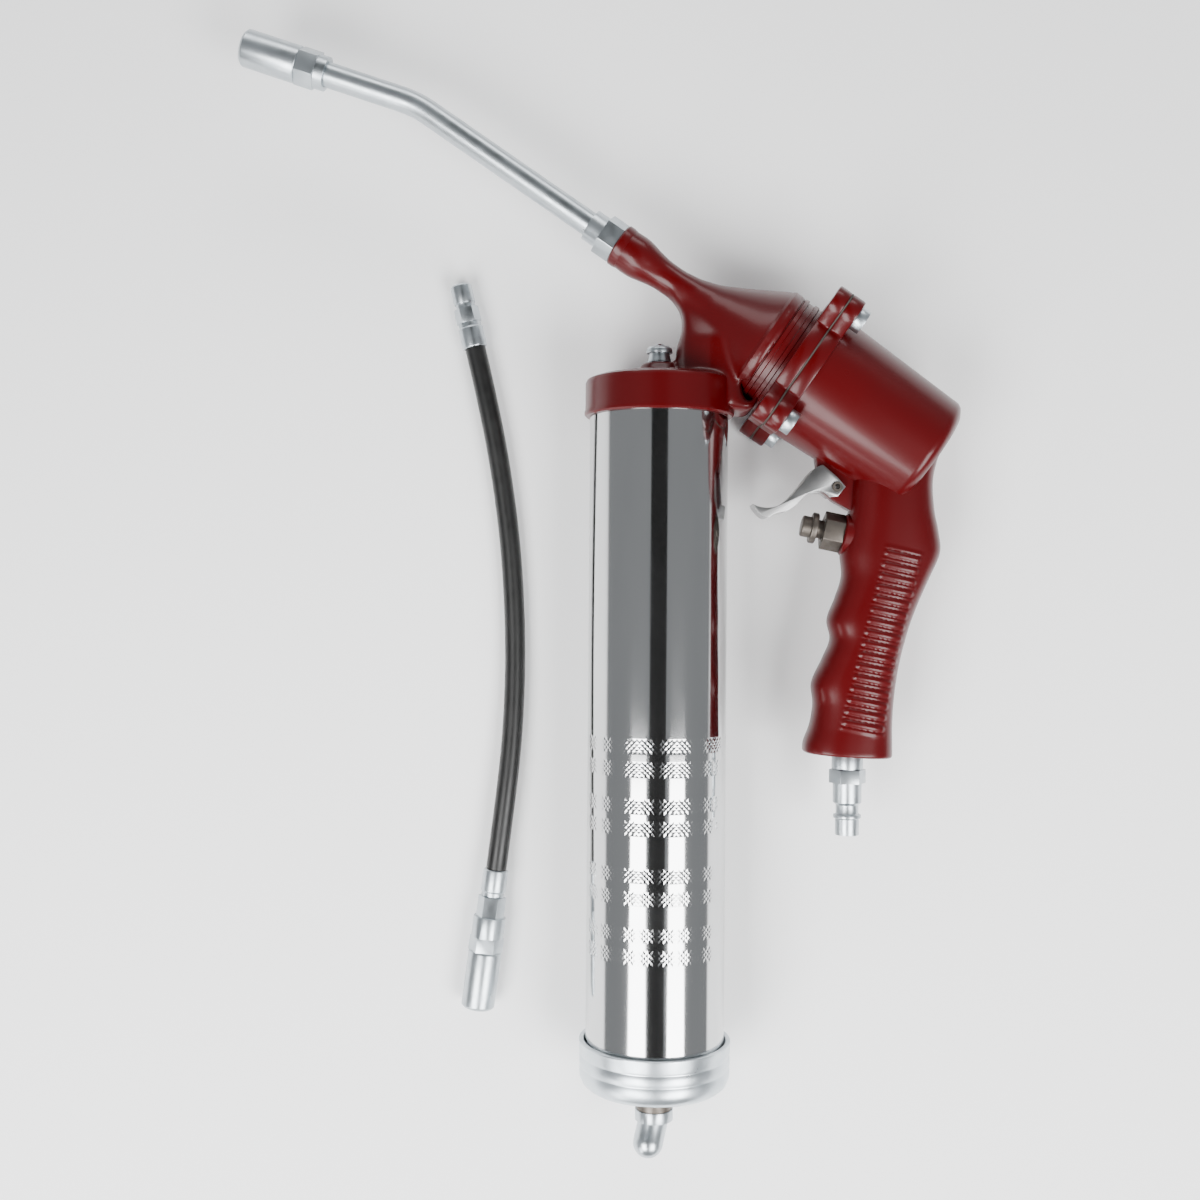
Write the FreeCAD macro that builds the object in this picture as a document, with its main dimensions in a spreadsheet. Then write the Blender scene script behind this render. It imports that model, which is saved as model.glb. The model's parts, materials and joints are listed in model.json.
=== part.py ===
import FreeCAD, Part
import math
import os
import Sketcher

# Air-operated grease gun, lying on its side, with its spare flexible hose beside it.
#
# The gun frame has its origin where the barrel axis crosses the lower rim of the head: +Y runs up
# the barrel to the head, +X towards the pistol grip, +Z out of the gun's flat side.  All axes of
# the gun lie in its mid-plane.  resting() moves a piece from the gun frame to the part's own
# frame, whose origin is on the floor under the middle of the gun.
#
# Pieces that are turned or screwed together share an Axis, and their sizes along it are places on
# that axis, so two pieces that meet use the same value.

Vector = FreeCAD.Vector
UP = Vector(0, 0, 1)

DRIVING_SIZES = {
    # where the gun lies
    "origin_x": 23.43, "origin_y": 73.51, "rest_height": 31.3,
    # fits
    "thread_gap": 0.03, "running_gap": 0.05,
    # barrel, along its axis
    "barrel_radius": 28.5, "barrel_wall": 1.2, "barrel_top": 8.9, "barrel_foot": -272.9,
    "seal_top": 11, "seal_width": 3, "head_rim": -1, "head_top": 14.9, "head_radius": 30.8,
    "cap_mouth": -256.9, "cap_floor": -273.2, "cap_base": -276.7, "cap_radius": 31, "cap_lip": 0.3,
    "bushing_radius": 7.45, "bushing_end": -285.9, "bushing_flange": 10,
    # follower and its rod
    "rod_radius": 4, "rod_top": -1, "rod_foot": -291, "follower_radius": 27, "follower_back": -12.5,
    "plate_thick": 1.5, "plate_radius": 20, "cup_floor": 3.5, "cup_lip": 10.5, "cup_wall": 2,
    "follower_nut_flats": 13, "follower_nut_height": 5, "follower_coil": 21, "follower_wire": 1.1,
    "handle_collar_radius": 7.85, "handle_collar": 4.4, "handle_radius": 6.15,
    "handle_lean": 5, "handle_reach": 9,
    # bleeder
    "bleeder_boss_radius": 7, "bleeder_boss_top": 21.5, "bleeder_thread": 3, "bleeder_neck": 4.15,
    "bleeder_head_radius": 5.35, "bleeder_head_low": 25.2, "bleeder_top": 28, "bleeder_pin": 1.2,
    "bleeder_spring_coil": 2, "bleeder_wire": 0.25,
    # pump axis: pipe, head, air cylinder
    "pump_crossing": 58.5, "pump_heading": -34.3,
    "outlet_end": -35, "outlet_hex_end": -28.8, "outlet_face": -21, "outlet_shank_end": -14.2,
    "outlet_collar_radius": 6.7, "outlet_hex_flats": 15.3, "outlet_shank_radius": 5.5,
    "pipe_radius": 5.15, "pipe_bore": 3.2, "pipe_seat": -27, "pipe_bend": -122.6, "pipe_round": 45,
    "boss_radius": 8.95, "waist_radius": 6.5, "cone_start": 24, "cone_start_radius": 9.7,
    "cone_end": 51.5, "cone_end_radius": 24.8, "collar_end": 64, "collar_radius": 24.7,
    "flange_joint": 70, "flange_end": 76, "flange_radius": 28.5, "gasket_thick": 0.5,
    "bolt_offset": 24.4, "ear_radius": 6.9, "bolt_radius": 3, "bolt_head_radius": 5,
    "bolt_head_height": 4, "bolt_socket_flats": 5, "bolt_clearance": 0.3,
    "ball_radius": 3.9, "valve_seat": -6, "valve_chamber": 4.6, "check_coil": 2.4, "check_wire": 0.4,
    "plunger_radius": 3.5, "plunger_tip": 23, "gland_start": 38, "gland_seal_end": 42,
    "gland_end": 48, "gland_radius": 8, "spring_room_radius": 18.5, "spring_room_start": 46.5,
    "piston_front": 115, "piston_back": 123, "piston_gap": 0.1, "piston_seal_radius": 19,
    "piston_seal_inset": 2, "piston_stud": 3, "piston_nut_flats": 10, "piston_nut_height": 4.5,
    "return_coil": 14, "return_wire": 1.1,
    "cylinder_radius": 27.3, "cylinder_end_radius": 25.1, "cylinder_taper_end": 130,
    "cylinder_end": 134.5, "cylinder_bore": 22.5, "cylinder_floor": 129,
    # coupler at the end of the rigid pipe, from the bend
    "tip_heading": 162.1, "nozzle_start": 38.7, "nozzle_hex": 42.7, "nozzle_face": 50.7,
    "nozzle_end": 74.8, "nozzle_pipe_end": 47, "nozzle_collar_radius": 7, "nozzle_hex_flats": 14.3,
    "nozzle_radius": 7.7,
    # working pieces inside both couplers
    "coupler_core_radius": 5.9, "coupler_core": 7.3, "coupler_bore": 1.8, "jaw_radius": 5.4,
    "jaw_length": 7.5, "jaw_bore": 3.3, "jaw_slit": 0.6, "coupler_lip": 3.8, "mouth_radius": 4.2,
    "coupler_seal": 1.5, "coupler_coil": 3.6, "coupler_wire": 0.4,
    # trigger
    "pivot_x": 72.7, "pivot_y": -29.6, "pin_radius": 2, "pin_bore": 1.1, "pin_length": 14.6,
    "trigger_width": 13, "trigger_slot": 8.6, "trigger_slot_x": 62.5, "bracket_width": 8,
    # air valve, from the button's face
    "valve_x": 59, "valve_y": -45.2, "valve_heading": -11.4, "button_radius": 4.4, "button": 3.9,
    "ring_radius": 6.4, "ring_end": 6.4, "valve_neck_radius": 3.75, "valve_hex_start": 8.9,
    "valve_hex_end": 17.2, "valve_hex_flats": 14, "valve_shank_radius": 6, "valve_shank_end": 29,
    "valve_stem_radius": 2, "valve_boss_radius": 8.7, "valve_boss_end": 33, "poppet_radius": 3.5,
    "valve_coil": 3, "valve_wire": 0.3,
    # air passages of the grip
    "passage_radius": 2.5, "grip_joint_x": 88, "grip_joint_y": -51,
    # air inlet, from the foot of the grip
    "inlet_x": 78.8, "inlet_y": -139.6, "inlet_collar_radius": 6.45, "inlet_collar": 6,
    "inlet_hex": 11.6, "inlet_hex_flats": 13.2, "inlet_shank_radius": 5.6, "inlet_shank": 11,
    "plug_body_radius": 5.9, "plug_body": 20.6, "plug_neck_radius": 4.7, "plug_neck": 24.2,
    "plug_ring_radius": 5.7, "plug_ring": 26.4, "plug_nose_radius": 4.9, "plug_end": 33,
    "plug_shank_radius": 3.8, "plug_bore": 2.6,
    # spare hose and its fittings
    "hose_radius": 4.4, "ferrule_radius": 5.3, "ferrule_length": 11, "hose_grip": 8,
    "nipple_hex_end": 17.5, "nipple_hex_flats": 9.4, "nipple_thread_radius": 4.6,
    "nipple_end": 27.8, "hose_bore": 2.2,
    "end_ferrule_length": 11.7, "hose_hex_end": 20.4, "hose_hex_flats": 10.4,
    "hose_body_end": 29.2, "hose_body_radius": 6.9, "hose_ring_end": 35.4, "hose_ring_flats": 12.8,
    "hose_coupler_end": 60, "hose_coupler_radius": 7.1,
}

# Middle line of the spare hose between its two ferrules, in the gun frame.
HOSE_ROUTE = [
    Vector(-78.4, 31.7, -25.9), Vector(-72.0, 5.5, -25.9), Vector(-66.0, -26.5, -26.7),
    Vector(-61.8, -60.0, -26.9), Vector(-59.9, -99.0, -26.9), Vector(-61.0, -136.0, -25.6),
    Vector(-64.2, -166.0, -24.2), Vector(-67.6, -192.7, -24.2),
]

# The grip in slices square to the barrel: height, front edge, back edge, half width.
GRIP_SLICES = [
    (-10, 80.5, 117.0, 13.0), (-25, 79.6, 112.9, 13.2), (-38, 78.6, 113.3, 13.5),
    (-47, 77.0, 115.1, 13.8), (-56, 75.2, 115.9, 14.0), (-66, 75.8, 111.8, 14.0),
    (-75, 73.2, 107.8, 14.0), (-84, 70.0, 104.3, 14.0), (-92, 71.3, 101.8, 14.0),
    (-100, 68.2, 99.8, 14.0), (-110, 63.8, 98.1, 14.0), (-119, 64.4, 97.1, 14.2),
    (-128, 63.0, 96.7, 14.6), (-135, 60.6, 96.8, 15.0), (-139.6, 60.2, 96.8, 15.2),
]

# Side outline of the trigger: the edge the finger pulls, then the edge that meets the valve.
TRIGGER_FRONT = [(38.3, -36.9), (41.7, -38.1), (47.6, -37.9), (51.8, -35.5), (56.0, -31.3),
                 (59.8, -26.6), (63.4, -22.4), (66.9, -20.7)]
TRIGGER_CHEEK = [(66.9, -20.7), (72.8, -25.7), (76.2, -29.6), (72.9, -33.6), (69.8, -33.8)]
TRIGGER_BACK = [(69.8, -33.8), (65.6, -31.4), (60.8, -32.4), (56.4, -36.6), (51.4, -39.8),
                (46.4, -41.3), (44.3, -42.4), (41.3, -41.1), (38.3, -36.9)]

BRACKET_OUTLINE = [(64.2, -14), (64.8, -21), (66.9, -30.8), (71.2, -34.9), (82, -41), (86, -24)]

# Side outline of the web that joins the pump cone to the barrel head.
WEB_OUTLINE = [(9.3, 37), (7.6, 30), (8.2, 22), (9.5, 12), (27, -0.9), (36, -1), (38.8, 1.8),
               (48, 24), (30, 38), (17, 44)]


RUNS_PER_TURN = 12


class Dim:
    """A size that carries both its value and the sheet expression that gives it."""

    def __init__(self, value, text=None):
        self.value = value
        self.text = f"{value:g}" if text is None else text

    def combined(self, sign, other, value):
        return Dim(value, f"({self.text} {sign} {as_dim(other).text})")

    def __add__(self, other):
        return self.combined("+", other, self.value + as_dim(other).value)

    def __sub__(self, other):
        return self.combined("-", other, self.value - as_dim(other).value)

    def __mul__(self, factor):
        return self.combined("*", factor, self.value * as_dim(factor).value)

    def __truediv__(self, factor):
        return self.combined("/", factor, self.value / as_dim(factor).value)

    def __neg__(self):
        return self * -1


def as_dim(value):
    return value if isinstance(value, Dim) else Dim(value)


class Sizes:
    """The driving sizes by name, each bound to its cell of the sheet."""

    def __init__(self, sheet, values):
        sheet.set("A1", "size")
        sheet.set("B1", "mm or degrees")
        for row, (name, value) in enumerate(values.items(), start=2):
            sheet.set(f"A{row}", name)
            sheet.set(f"B{row}", f"{value:g}")
            sheet.setAlias(f"B{row}", name)
            setattr(self, name, Dim(value, f"Sizes.{name}"))


doc = FreeCAD.newDocument("grease_gun")
size_sheet = doc.addObject("Spreadsheet::Sheet", "Sizes")
size = Sizes(size_sheet, DRIVING_SIZES)
doc.recompute()
pieces = []


class Axis:
    """A line in the gun's mid-plane, or level with it, on which pieces are placed."""

    def __init__(self, start, heading):
        angle = math.radians(heading)
        self.start = start
        self.along = Vector(math.cos(angle), math.sin(angle), 0)
        turn = FreeCAD.Rotation(UP.cross(self.along), UP, self.along, "ZYX")
        self.place = FreeCAD.Placement(start, turn)

    def point(self, distance, across=0):
        """A point along the axis, and across it in the mid-plane."""
        return self.start + self.along * distance + UP.cross(self.along) * across


def gun_point(x, y):
    return Vector(as_dim(x).value, as_dim(y).value, 0)


BARREL = Axis(gun_point(0, 0), 90)
PUMP = Axis(gun_point(0, size.pump_crossing), size.pump_heading.value)
TIP = Axis(PUMP.point(size.pipe_bend.value), size.tip_heading.value)
VALVE = Axis(gun_point(size.valve_x, size.valve_y), size.valve_heading.value)
INLET = Axis(gun_point(size.inlet_x, size.inlet_y), -90)


def heading_between(start, end):
    return math.degrees(math.atan2(end.y - start.y, end.x - start.x))


HOSE_START = Axis(HOSE_ROUTE[0], heading_between(HOSE_ROUTE[1], HOSE_ROUTE[0]))
HOSE_END = Axis(HOSE_ROUTE[-1], heading_between(HOSE_ROUTE[-2], HOSE_ROUTE[-1]))
RESTING = FreeCAD.Placement(
    Vector(size.origin_x.value, size.origin_y.value, size.rest_height.value), FreeCAD.Rotation())


def resting(place=None):
    """The placement in the part's own frame of a piece made in the gun frame."""
    return RESTING.multiply(place) if place else RESTING


def keep(item, label, axis=None):
    """Name a finished piece, lay it in place and list it for export."""
    item.Label = label
    item.Placement = resting(axis.place if axis else None)
    pieces.append(item)
    return item


# ---------------------------------------------------------------- building blocks

def bound(kind, name, **sizes):
    """A Part primitive whose sizes follow the sheet."""
    item = doc.addObject(kind, name)
    for prop, dim in sizes.items():
        item.setExpression(prop, as_dim(dim).text)
    return item


def rod(start, end, radius, name="rod"):
    """A cylinder along Z from start to end."""
    item = bound("Part::Cylinder", name, Radius=radius, Height=as_dim(end) - start)
    item.setExpression("Placement.Base.z", as_dim(start).text)
    return item


def taper(start, end, start_radius, end_radius):
    item = bound("Part::Cone", "taper", Radius1=start_radius, Radius2=end_radius,
                 Height=as_dim(end) - start)
    item.setExpression("Placement.Base.z", as_dim(start).text)
    return item


def hex_bar(start, end, across_flats):
    """A hexagonal bar along Z from start to end."""
    item = bound("Part::Prism", "hex_bar", Circumradius=as_dim(across_flats) / math.sqrt(3),
                 Height=as_dim(end) - start)
    item.Polygon = 6
    item.setExpression("Placement.Base.z", as_dim(start).text)
    return item


def block(corner, lengths):
    """A box from its low corner and its three lengths."""
    item = bound("Part::Box", "block", Length=lengths[0], Width=lengths[1], Height=lengths[2])
    for axis, dim in zip("xyz", corner):
        item.setExpression(f"Placement.Base.{axis}", as_dim(dim).text)
    return item


def moved(item, x, y):
    """The same item, moved across its axis."""
    item.setExpression("Placement.Base.x", as_dim(x).text)
    item.setExpression("Placement.Base.y", as_dim(y).text)
    return item


def on_axis(items, axis):
    """Items made along one axis, laid in the gun frame to be joined with those of another."""
    group = doc.addObject("Part::Compound", "on_axis")
    group.Links = items
    group.Placement = axis.place
    return group


def fuse(solids, name="joined"):
    if len(solids) == 1:
        return solids[0]
    item = doc.addObject("Part::MultiFuse", name)
    item.Shapes = solids
    return item


def cut(base, tools, name="bored"):
    item = doc.addObject("Part::Cut", name)
    item.Base = base
    item.Tool = fuse(tools, "tools")
    return item


def turned_body(outline, name):
    """A lathe-turned body: the outline is a closed list of (place on the axis, radius)."""
    body = doc.addObject("PartDesign::Body", name)
    sketch = body.newObject("Sketcher::SketchObject", name + "_outline")
    plane = [item for item in body.Origin.OriginFeatures if item.Role == "XZ_Plane"][0]
    sketch.AttachmentSupport = [(plane, "")]
    sketch.MapMode = "FlatFace"
    corners = [(as_dim(radius), as_dim(along)) for along, radius in outline]
    count = len(corners)
    for index in range(count):
        start, end = corners[index], corners[(index + 1) % count]
        sketch.addGeometry(Part.LineSegment(Vector(start[0].value, start[1].value, 0),
                                            Vector(end[0].value, end[1].value, 0)), False)
    for index in range(count):
        sketch.addConstraint(Sketcher.Constraint("Coincident", index, 2, (index + 1) % count, 1))
    for index, corner in enumerate(corners):
        for kind, dim in zip(("DistanceX", "DistanceY"), corner):
            number = sketch.addConstraint(Sketcher.Constraint(kind, -1, 1, index, 1, dim.value))
            sketch.setExpression(f"Constraints[{number}]", dim.text)
    turning = body.newObject("PartDesign::Revolution", name + "_turned")
    turning.Profile = sketch
    turning.ReferenceAxis = (sketch, ["V_Axis"])
    turning.Angle = 360
    body.Tip = turning
    return body


def turned(outline, label, axis):
    return keep(turned_body(outline, label), label, axis)


def coil_spring(start, end, coil_radius, wire_radius, turns, label, axis):
    """A round-wire spring that fills the length from start to end, drawn as mitred runs."""
    low, high = (as_dim(start) + wire_radius).value, (as_dim(end) - wire_radius).value
    radius, wire = as_dim(coil_radius).value, as_dim(wire_radius).value
    runs = turns * RUNS_PER_TURN
    points = []
    for run in range(runs + 1):
        angle = 2 * math.pi * run / RUNS_PER_TURN
        points.append(Vector(radius * math.cos(angle), radius * math.sin(angle),
                             low + (high - low) * run / runs))
    ring = Part.Wire(Part.makeCircle(wire, points[0], points[1] - points[0]))
    mitred = 1
    coil = Part.makePolygon(points).makePipeShell([ring], True, False, mitred)
    return keep(shaped(coil, label), label, axis)


def shaped(shape, name):
    item = doc.addObject("Part::Feature", name)
    item.Shape = shape
    return item


def plate(edges, width, name):
    """A flat plate with the outline that the edges close, centred on the mid-plane."""
    face = Part.Face(Part.Wire(edges))
    solid = face.extrude(Vector(0, 0, width))
    solid.translate(Vector(0, 0, -width / 2))
    return shaped(solid, name)


def smooth_edge(outline):
    curve = Part.BSplineCurve()
    curve.interpolate([Vector(x, y, 0) for x, y in outline])
    return curve.toShape()


def polygon_edges(outline):
    corners = [Vector(x, y, 0) for x, y in outline]
    return Part.makePolygon(corners + corners[:1]).Edges


def rounded_path(route, radius=None):
    """Straight runs joined by tangent arcs, with the arc radii that were used."""
    edges, radii = [], []
    start = route[0]
    for before, corner, after in zip(route, route[1:], route[2:]):
        entry = (before - corner).normalize()
        leave = (after - corner).normalize()
        half_turn = (math.pi - entry.getAngle(leave)) / 2
        shorter = min((before - corner).Length, (after - corner).Length)
        bend = radius if radius else 0.45 * shorter / math.tan(half_turn)
        setback = bend * math.tan(half_turn)
        middle = (entry + leave).normalize() * (bend / math.cos(half_turn) - bend)
        first, last = corner + entry * setback, corner + leave * setback
        edges.append(Part.LineSegment(start, first).toShape())
        edges.append(Part.Arc(first, corner + middle, last).toShape())
        radii.append(bend)
        start = last
    edges.append(Part.LineSegment(start, route[-1]).toShape())
    return Part.Wire(edges), radii


def swept_tube(path, radius):
    """A round bar along a path that starts square to its first run."""
    first = path.OrderedEdges[0]
    direction = first.tangentAt(first.FirstParameter)
    ring = Part.Wire(Part.makeCircle(radius, first.valueAt(first.FirstParameter), direction))
    return path.makePipeShell([ring], True, False)


# ---------------------------------------------------------------- head and pump

def flange(start, end):
    """The bolted joint's plate: a round rim with an ear for each screw."""
    reach = size.bolt_offset * math.sqrt(2)
    solids = [rod(start, end, size.flange_radius)]
    for turn in (45, -45):
        bar = bound("Part::Box", "ear_bar", Length=reach * 2, Width=size.ear_radius * 2,
                    Height=as_dim(end) - start)
        spin = FreeCAD.Rotation(UP, turn)
        corner = spin.multVec(Vector(-reach.value, -size.ear_radius.value, as_dim(start).value))
        bar.Placement = FreeCAD.Placement(corner, spin)
        solids.append(bar)
    return solids + at_bolts(start, end, size.ear_radius)


def at_bolts(start, end, radius):
    """One cylinder at each of the four flange screws."""
    offset = size.bolt_offset
    return [moved(rod(start, end, radius), offset * x, offset * y)
            for x in (-1, 1) for y in (-1, 1)]


def make_head_casting():
    """The red head: pump cone, screw flange, web and the threaded cap over the barrel."""
    cone = turned_body([
        (size.outlet_face, 0), (size.outlet_face, size.boss_radius - 0.6),
        (size.outlet_face + 0.6, size.boss_radius), (-12, size.boss_radius), (-6, 7.9),
        (1, size.waist_radius), (8, size.waist_radius - 0.1), (16, 7.4),
        (size.cone_start, size.cone_start_radius), (38, 16.7), (46, 21.4),
        (size.cone_end, size.cone_end_radius), (53, size.collar_radius),
        (54, size.collar_radius - 0.7), (56.5, size.collar_radius - 0.7), (57.5, size.collar_radius),
        (58.5, size.collar_radius - 0.7), (61, size.collar_radius - 0.7), (62, size.collar_radius),
        (size.collar_end, size.collar_radius), (size.collar_end, 0),
    ], "pump_cone")
    cap = turned_body([
        (size.head_rim, 0), (size.head_rim, size.head_radius - 0.7),
        (size.head_rim + 0.7, size.head_radius), (size.head_top - 2, size.head_radius),
        (size.head_top - 0.6, size.head_radius - 0.6), (size.head_top, size.head_radius - 2),
        (size.head_top, size.bleeder_boss_radius + 1), (size.head_top + 1, size.bleeder_boss_radius),
        (size.bleeder_boss_top - 1, size.bleeder_boss_radius - 0.5),
        (size.bleeder_boss_top, size.bleeder_boss_radius - 1.5), (size.bleeder_boss_top, 0),
    ], "barrel_cap")
    web = plate(polygon_edges(WEB_OUTLINE), 26, "web")
    plate_end = size.flange_joint - size.gasket_thick / 2
    pump = fuse([cone, *flange(size.collar_end, plate_end)])
    solids = [on_axis([pump], PUMP), on_axis([cap], BARREL), web]
    past_joint = size.flange_joint + 1
    bores = [
        rod(size.outlet_face - 1, size.outlet_shank_end, size.outlet_shank_radius + size.thread_gap),
        rod(size.outlet_shank_end - 0.1, size.valve_seat, size.valve_chamber),
        rod(size.valve_seat - 0.1, size.gland_start + 1, size.plunger_radius + size.running_gap),
        rod(size.gland_start, size.gland_end, size.gland_radius + size.thread_gap),
        rod(size.spring_room_start, past_joint, size.spring_room_radius),
    ] + at_bolts(size.collar_end - 1, past_joint, size.bolt_radius + size.thread_gap)
    barrel_bores = [
        rod(size.head_rim - 1, size.seal_top, size.barrel_radius + size.running_gap),
        rod(size.seal_top - 1, size.bleeder_boss_top + 1, size.bleeder_thread + size.thread_gap),
        moved(rod(size.seal_top - 1, 46, 3), -15, 0),
    ]
    bores = [on_axis([fuse(bores)], PUMP), on_axis([fuse(barrel_bores)], BARREL)]
    keep(cut(fuse(solids), bores), "head_casting")


def make_outlet():
    """Adapter, rigid pipe and check valve at the front of the pump."""
    solids = [rod(size.outlet_end, size.outlet_hex_end, size.outlet_collar_radius),
              hex_bar(size.outlet_hex_end, size.outlet_face, size.outlet_hex_flats),
              rod(size.outlet_face, size.outlet_shank_end, size.outlet_shank_radius)]
    bores = [rod(size.outlet_end - 1, size.pipe_seat, size.pipe_radius + size.thread_gap),
             rod(size.pipe_seat - 1, -24, 2.2),
             rod(-24, size.outlet_shank_end + 1, size.pipe_bore)]
    keep(cut(fuse(solids), bores), "outlet_adapter", PUMP)
    route = [PUMP.point(size.pipe_seat.value), PUMP.point(size.pipe_bend.value),
             TIP.point(size.nozzle_pipe_end.value)]
    path, _ = rounded_path(route, size.pipe_round.value)
    pipe = swept_tube(path, size.pipe_radius.value).cut(swept_tube(path, size.pipe_bore.value))
    keep(shaped(pipe, "rigid_extension"), "rigid_extension")
    seat_depth = math.sqrt(size.ball_radius.value ** 2
                           - (size.plunger_radius + size.running_gap).value ** 2)
    ball_place = size.valve_seat - seat_depth - size.running_gap
    ball = bound("Part::Sphere", "ball", Radius=size.ball_radius)
    ball.setExpression("Placement.Base.z", ball_place.text)
    keep(fuse([ball, rod(ball_place, ball_place + 1, 1)]), "check_ball", PUMP)
    coil_spring(-23.9, -10.9, size.check_coil, size.check_wire, 7, "check_spring", PUMP)


def make_pump():
    """Gland, plunger, air piston and return spring."""
    bore = size.plunger_radius + size.running_gap
    turned(ring(size.gland_start, size.gland_seal_end, bore, size.gland_radius), "plunger_seal", PUMP)
    turned(ring(size.gland_seal_end, size.gland_end, bore, size.gland_radius), "plunger_gland", PUMP)
    front, back = size.piston_front, size.piston_back
    radius = size.cylinder_bore - size.piston_gap
    stud_bore = size.piston_stud + size.thread_gap
    seal_front, seal_back = front + size.piston_seal_inset, back - size.piston_seal_inset
    turned([(front, stud_bore), (front, radius - 0.5), (front + 0.5, radius), (seal_front, radius),
            (seal_front, size.piston_seal_radius), (seal_back, size.piston_seal_radius),
            (seal_back, radius), (back - 0.5, radius), (back, radius - 0.5), (back, stud_bore)],
           "air_piston", PUMP)
    turned(ring(seal_front, seal_back, size.piston_seal_radius, radius), "piston_seal", PUMP)
    nut_end = back + size.piston_nut_height
    turned([(size.plunger_tip, 0), (size.plunger_tip, size.plunger_radius - 0.5),
            (size.plunger_tip + 0.5, size.plunger_radius), (front, size.plunger_radius),
            (front, size.piston_stud), (nut_end, size.piston_stud), (nut_end, 0)],
           "grease_plunger", PUMP)
    keep(cut(hex_bar(back, nut_end, size.piston_nut_flats), [rod(back - 1, nut_end + 1, stud_bore)]),
         "piston_nut", PUMP)
    coil_spring(size.gland_end, front, size.return_coil, size.return_wire, 8, "return_spring", PUMP)


def ring(start, end, inner, outer):
    return [(start, inner), (start, outer), (end, outer), (end, inner)]


def make_bleeder():
    """Press-to-open air bleeder in the top of the cap."""
    low = size.seal_top + 0.5
    pin_bore = size.bleeder_pin + size.running_gap
    room = size.bleeder_head_radius - 2.5
    turned([(low, pin_bore), (low, size.bleeder_thread), (size.bleeder_boss_top, size.bleeder_thread),
            (size.bleeder_boss_top, size.bleeder_neck + 0.8),
            (size.bleeder_head_low, size.bleeder_neck),
            (size.bleeder_head_low, size.bleeder_head_radius),
            (size.bleeder_top - 1, size.bleeder_head_radius),
            (size.bleeder_top, size.bleeder_head_radius - 1), (size.bleeder_top, room),
            (size.bleeder_boss_top + 1, room), (size.bleeder_boss_top + 1, pin_bore)],
           "bleeder_body", BARREL)
    button = size.bleeder_top - 1
    turned([(low - 1.5, 0), (low - 1.5, 1.8), (low - 0.3, 1.8), (low - 0.3, size.bleeder_pin),
            (button, size.bleeder_pin), (button, room - 0.3), (size.bleeder_top + 0.4, room - 0.3),
            (size.bleeder_top + 1, room - 0.9), (size.bleeder_top + 1, 0)], "bleeder_pin", BARREL)
    coil_spring(size.bleeder_boss_top + 1, button, size.bleeder_spring_coil, size.bleeder_wire, 5,
                "bleeder_spring", BARREL)


# ---------------------------------------------------------------- air cylinder and grip

def grip_loft():
    """The grip's solid through its elliptical slices."""
    sections = []
    for height, front, back, half_width in GRIP_SLICES:
        half_depth = (back - front) / 2
        centre = Vector((front + back) / 2, height, 0)
        if half_depth > half_width:
            ellipse = Part.Ellipse(centre + Vector(half_depth, 0, 0),
                                   centre + Vector(0, 0, half_width), centre)
        else:
            ellipse = Part.Ellipse(centre + Vector(0, 0, half_width),
                                   centre + Vector(half_depth, 0, 0), centre)
        sections.append(Part.Wire(ellipse.toShape()))
    return shaped(Part.makeLoft(sections, True, False), "grip")


def passage(start, end, radius):
    """A drilled air passage between two points of the mid-plane."""
    reach = end - start
    return shaped(Part.makeCylinder(radius, reach.Length, start, reach), "passage")


def make_grip_casting():
    """The red air cylinder, cast in one with the pistol grip and the trigger bracket."""
    plate_start = size.flange_joint + size.gasket_thick / 2
    cylinder = turned_body([
        (plate_start, 0), (plate_start, size.cylinder_radius),
        (size.flange_end + 2, size.cylinder_radius),
        (size.cylinder_taper_end, size.cylinder_end_radius),
        (size.cylinder_end - 1.5, size.cylinder_end_radius - 1.2),
        (size.cylinder_end, size.cylinder_end_radius - 3.5), (size.cylinder_end, 0),
    ], "air_cylinder")
    bracket = plate(polygon_edges(BRACKET_OUTLINE), size.bracket_width.value, "bracket")
    body = fuse([cylinder, *flange(plate_start, size.flange_end)])
    boss = rod(size.valve_hex_end, size.valve_boss_end, size.valve_boss_radius)
    solids = [on_axis([body], PUMP), grip_loft(), bracket, on_axis([boss], VALVE)]
    pump_bores = at_bolts(plate_start - 1, size.flange_end + 1,
                          size.bolt_radius + size.bolt_clearance)
    pump_bores.append(rod(plate_start - 1, size.cylinder_floor, size.cylinder_bore))
    valve_bore = rod(size.valve_hex_end - 1, size.valve_shank_end + 0.3,
                     size.valve_shank_radius + size.thread_gap)
    inlet_bore = rod(-size.inlet_shank - 0.3, 1, size.inlet_shank_radius + size.thread_gap)
    pin_bore = rod(-8, 8, size.pin_radius + size.thread_gap)
    bores = [on_axis([fuse(pump_bores)], PUMP), on_axis([valve_bore], VALVE),
             on_axis([inlet_bore], INLET), moved(pin_bore, size.pivot_x, size.pivot_y)]
    joint = gun_point(size.grip_joint_x, size.grip_joint_y)
    room = PUMP.point(size.cylinder_floor.value - 3, -size.cylinder_bore.value + 1)
    radius = size.passage_radius.value
    bores += [passage(INLET.point(-10), joint, radius), passage(joint, room, radius)]
    keep(cut(fuse(solids), bores), "grip_casting")


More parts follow.
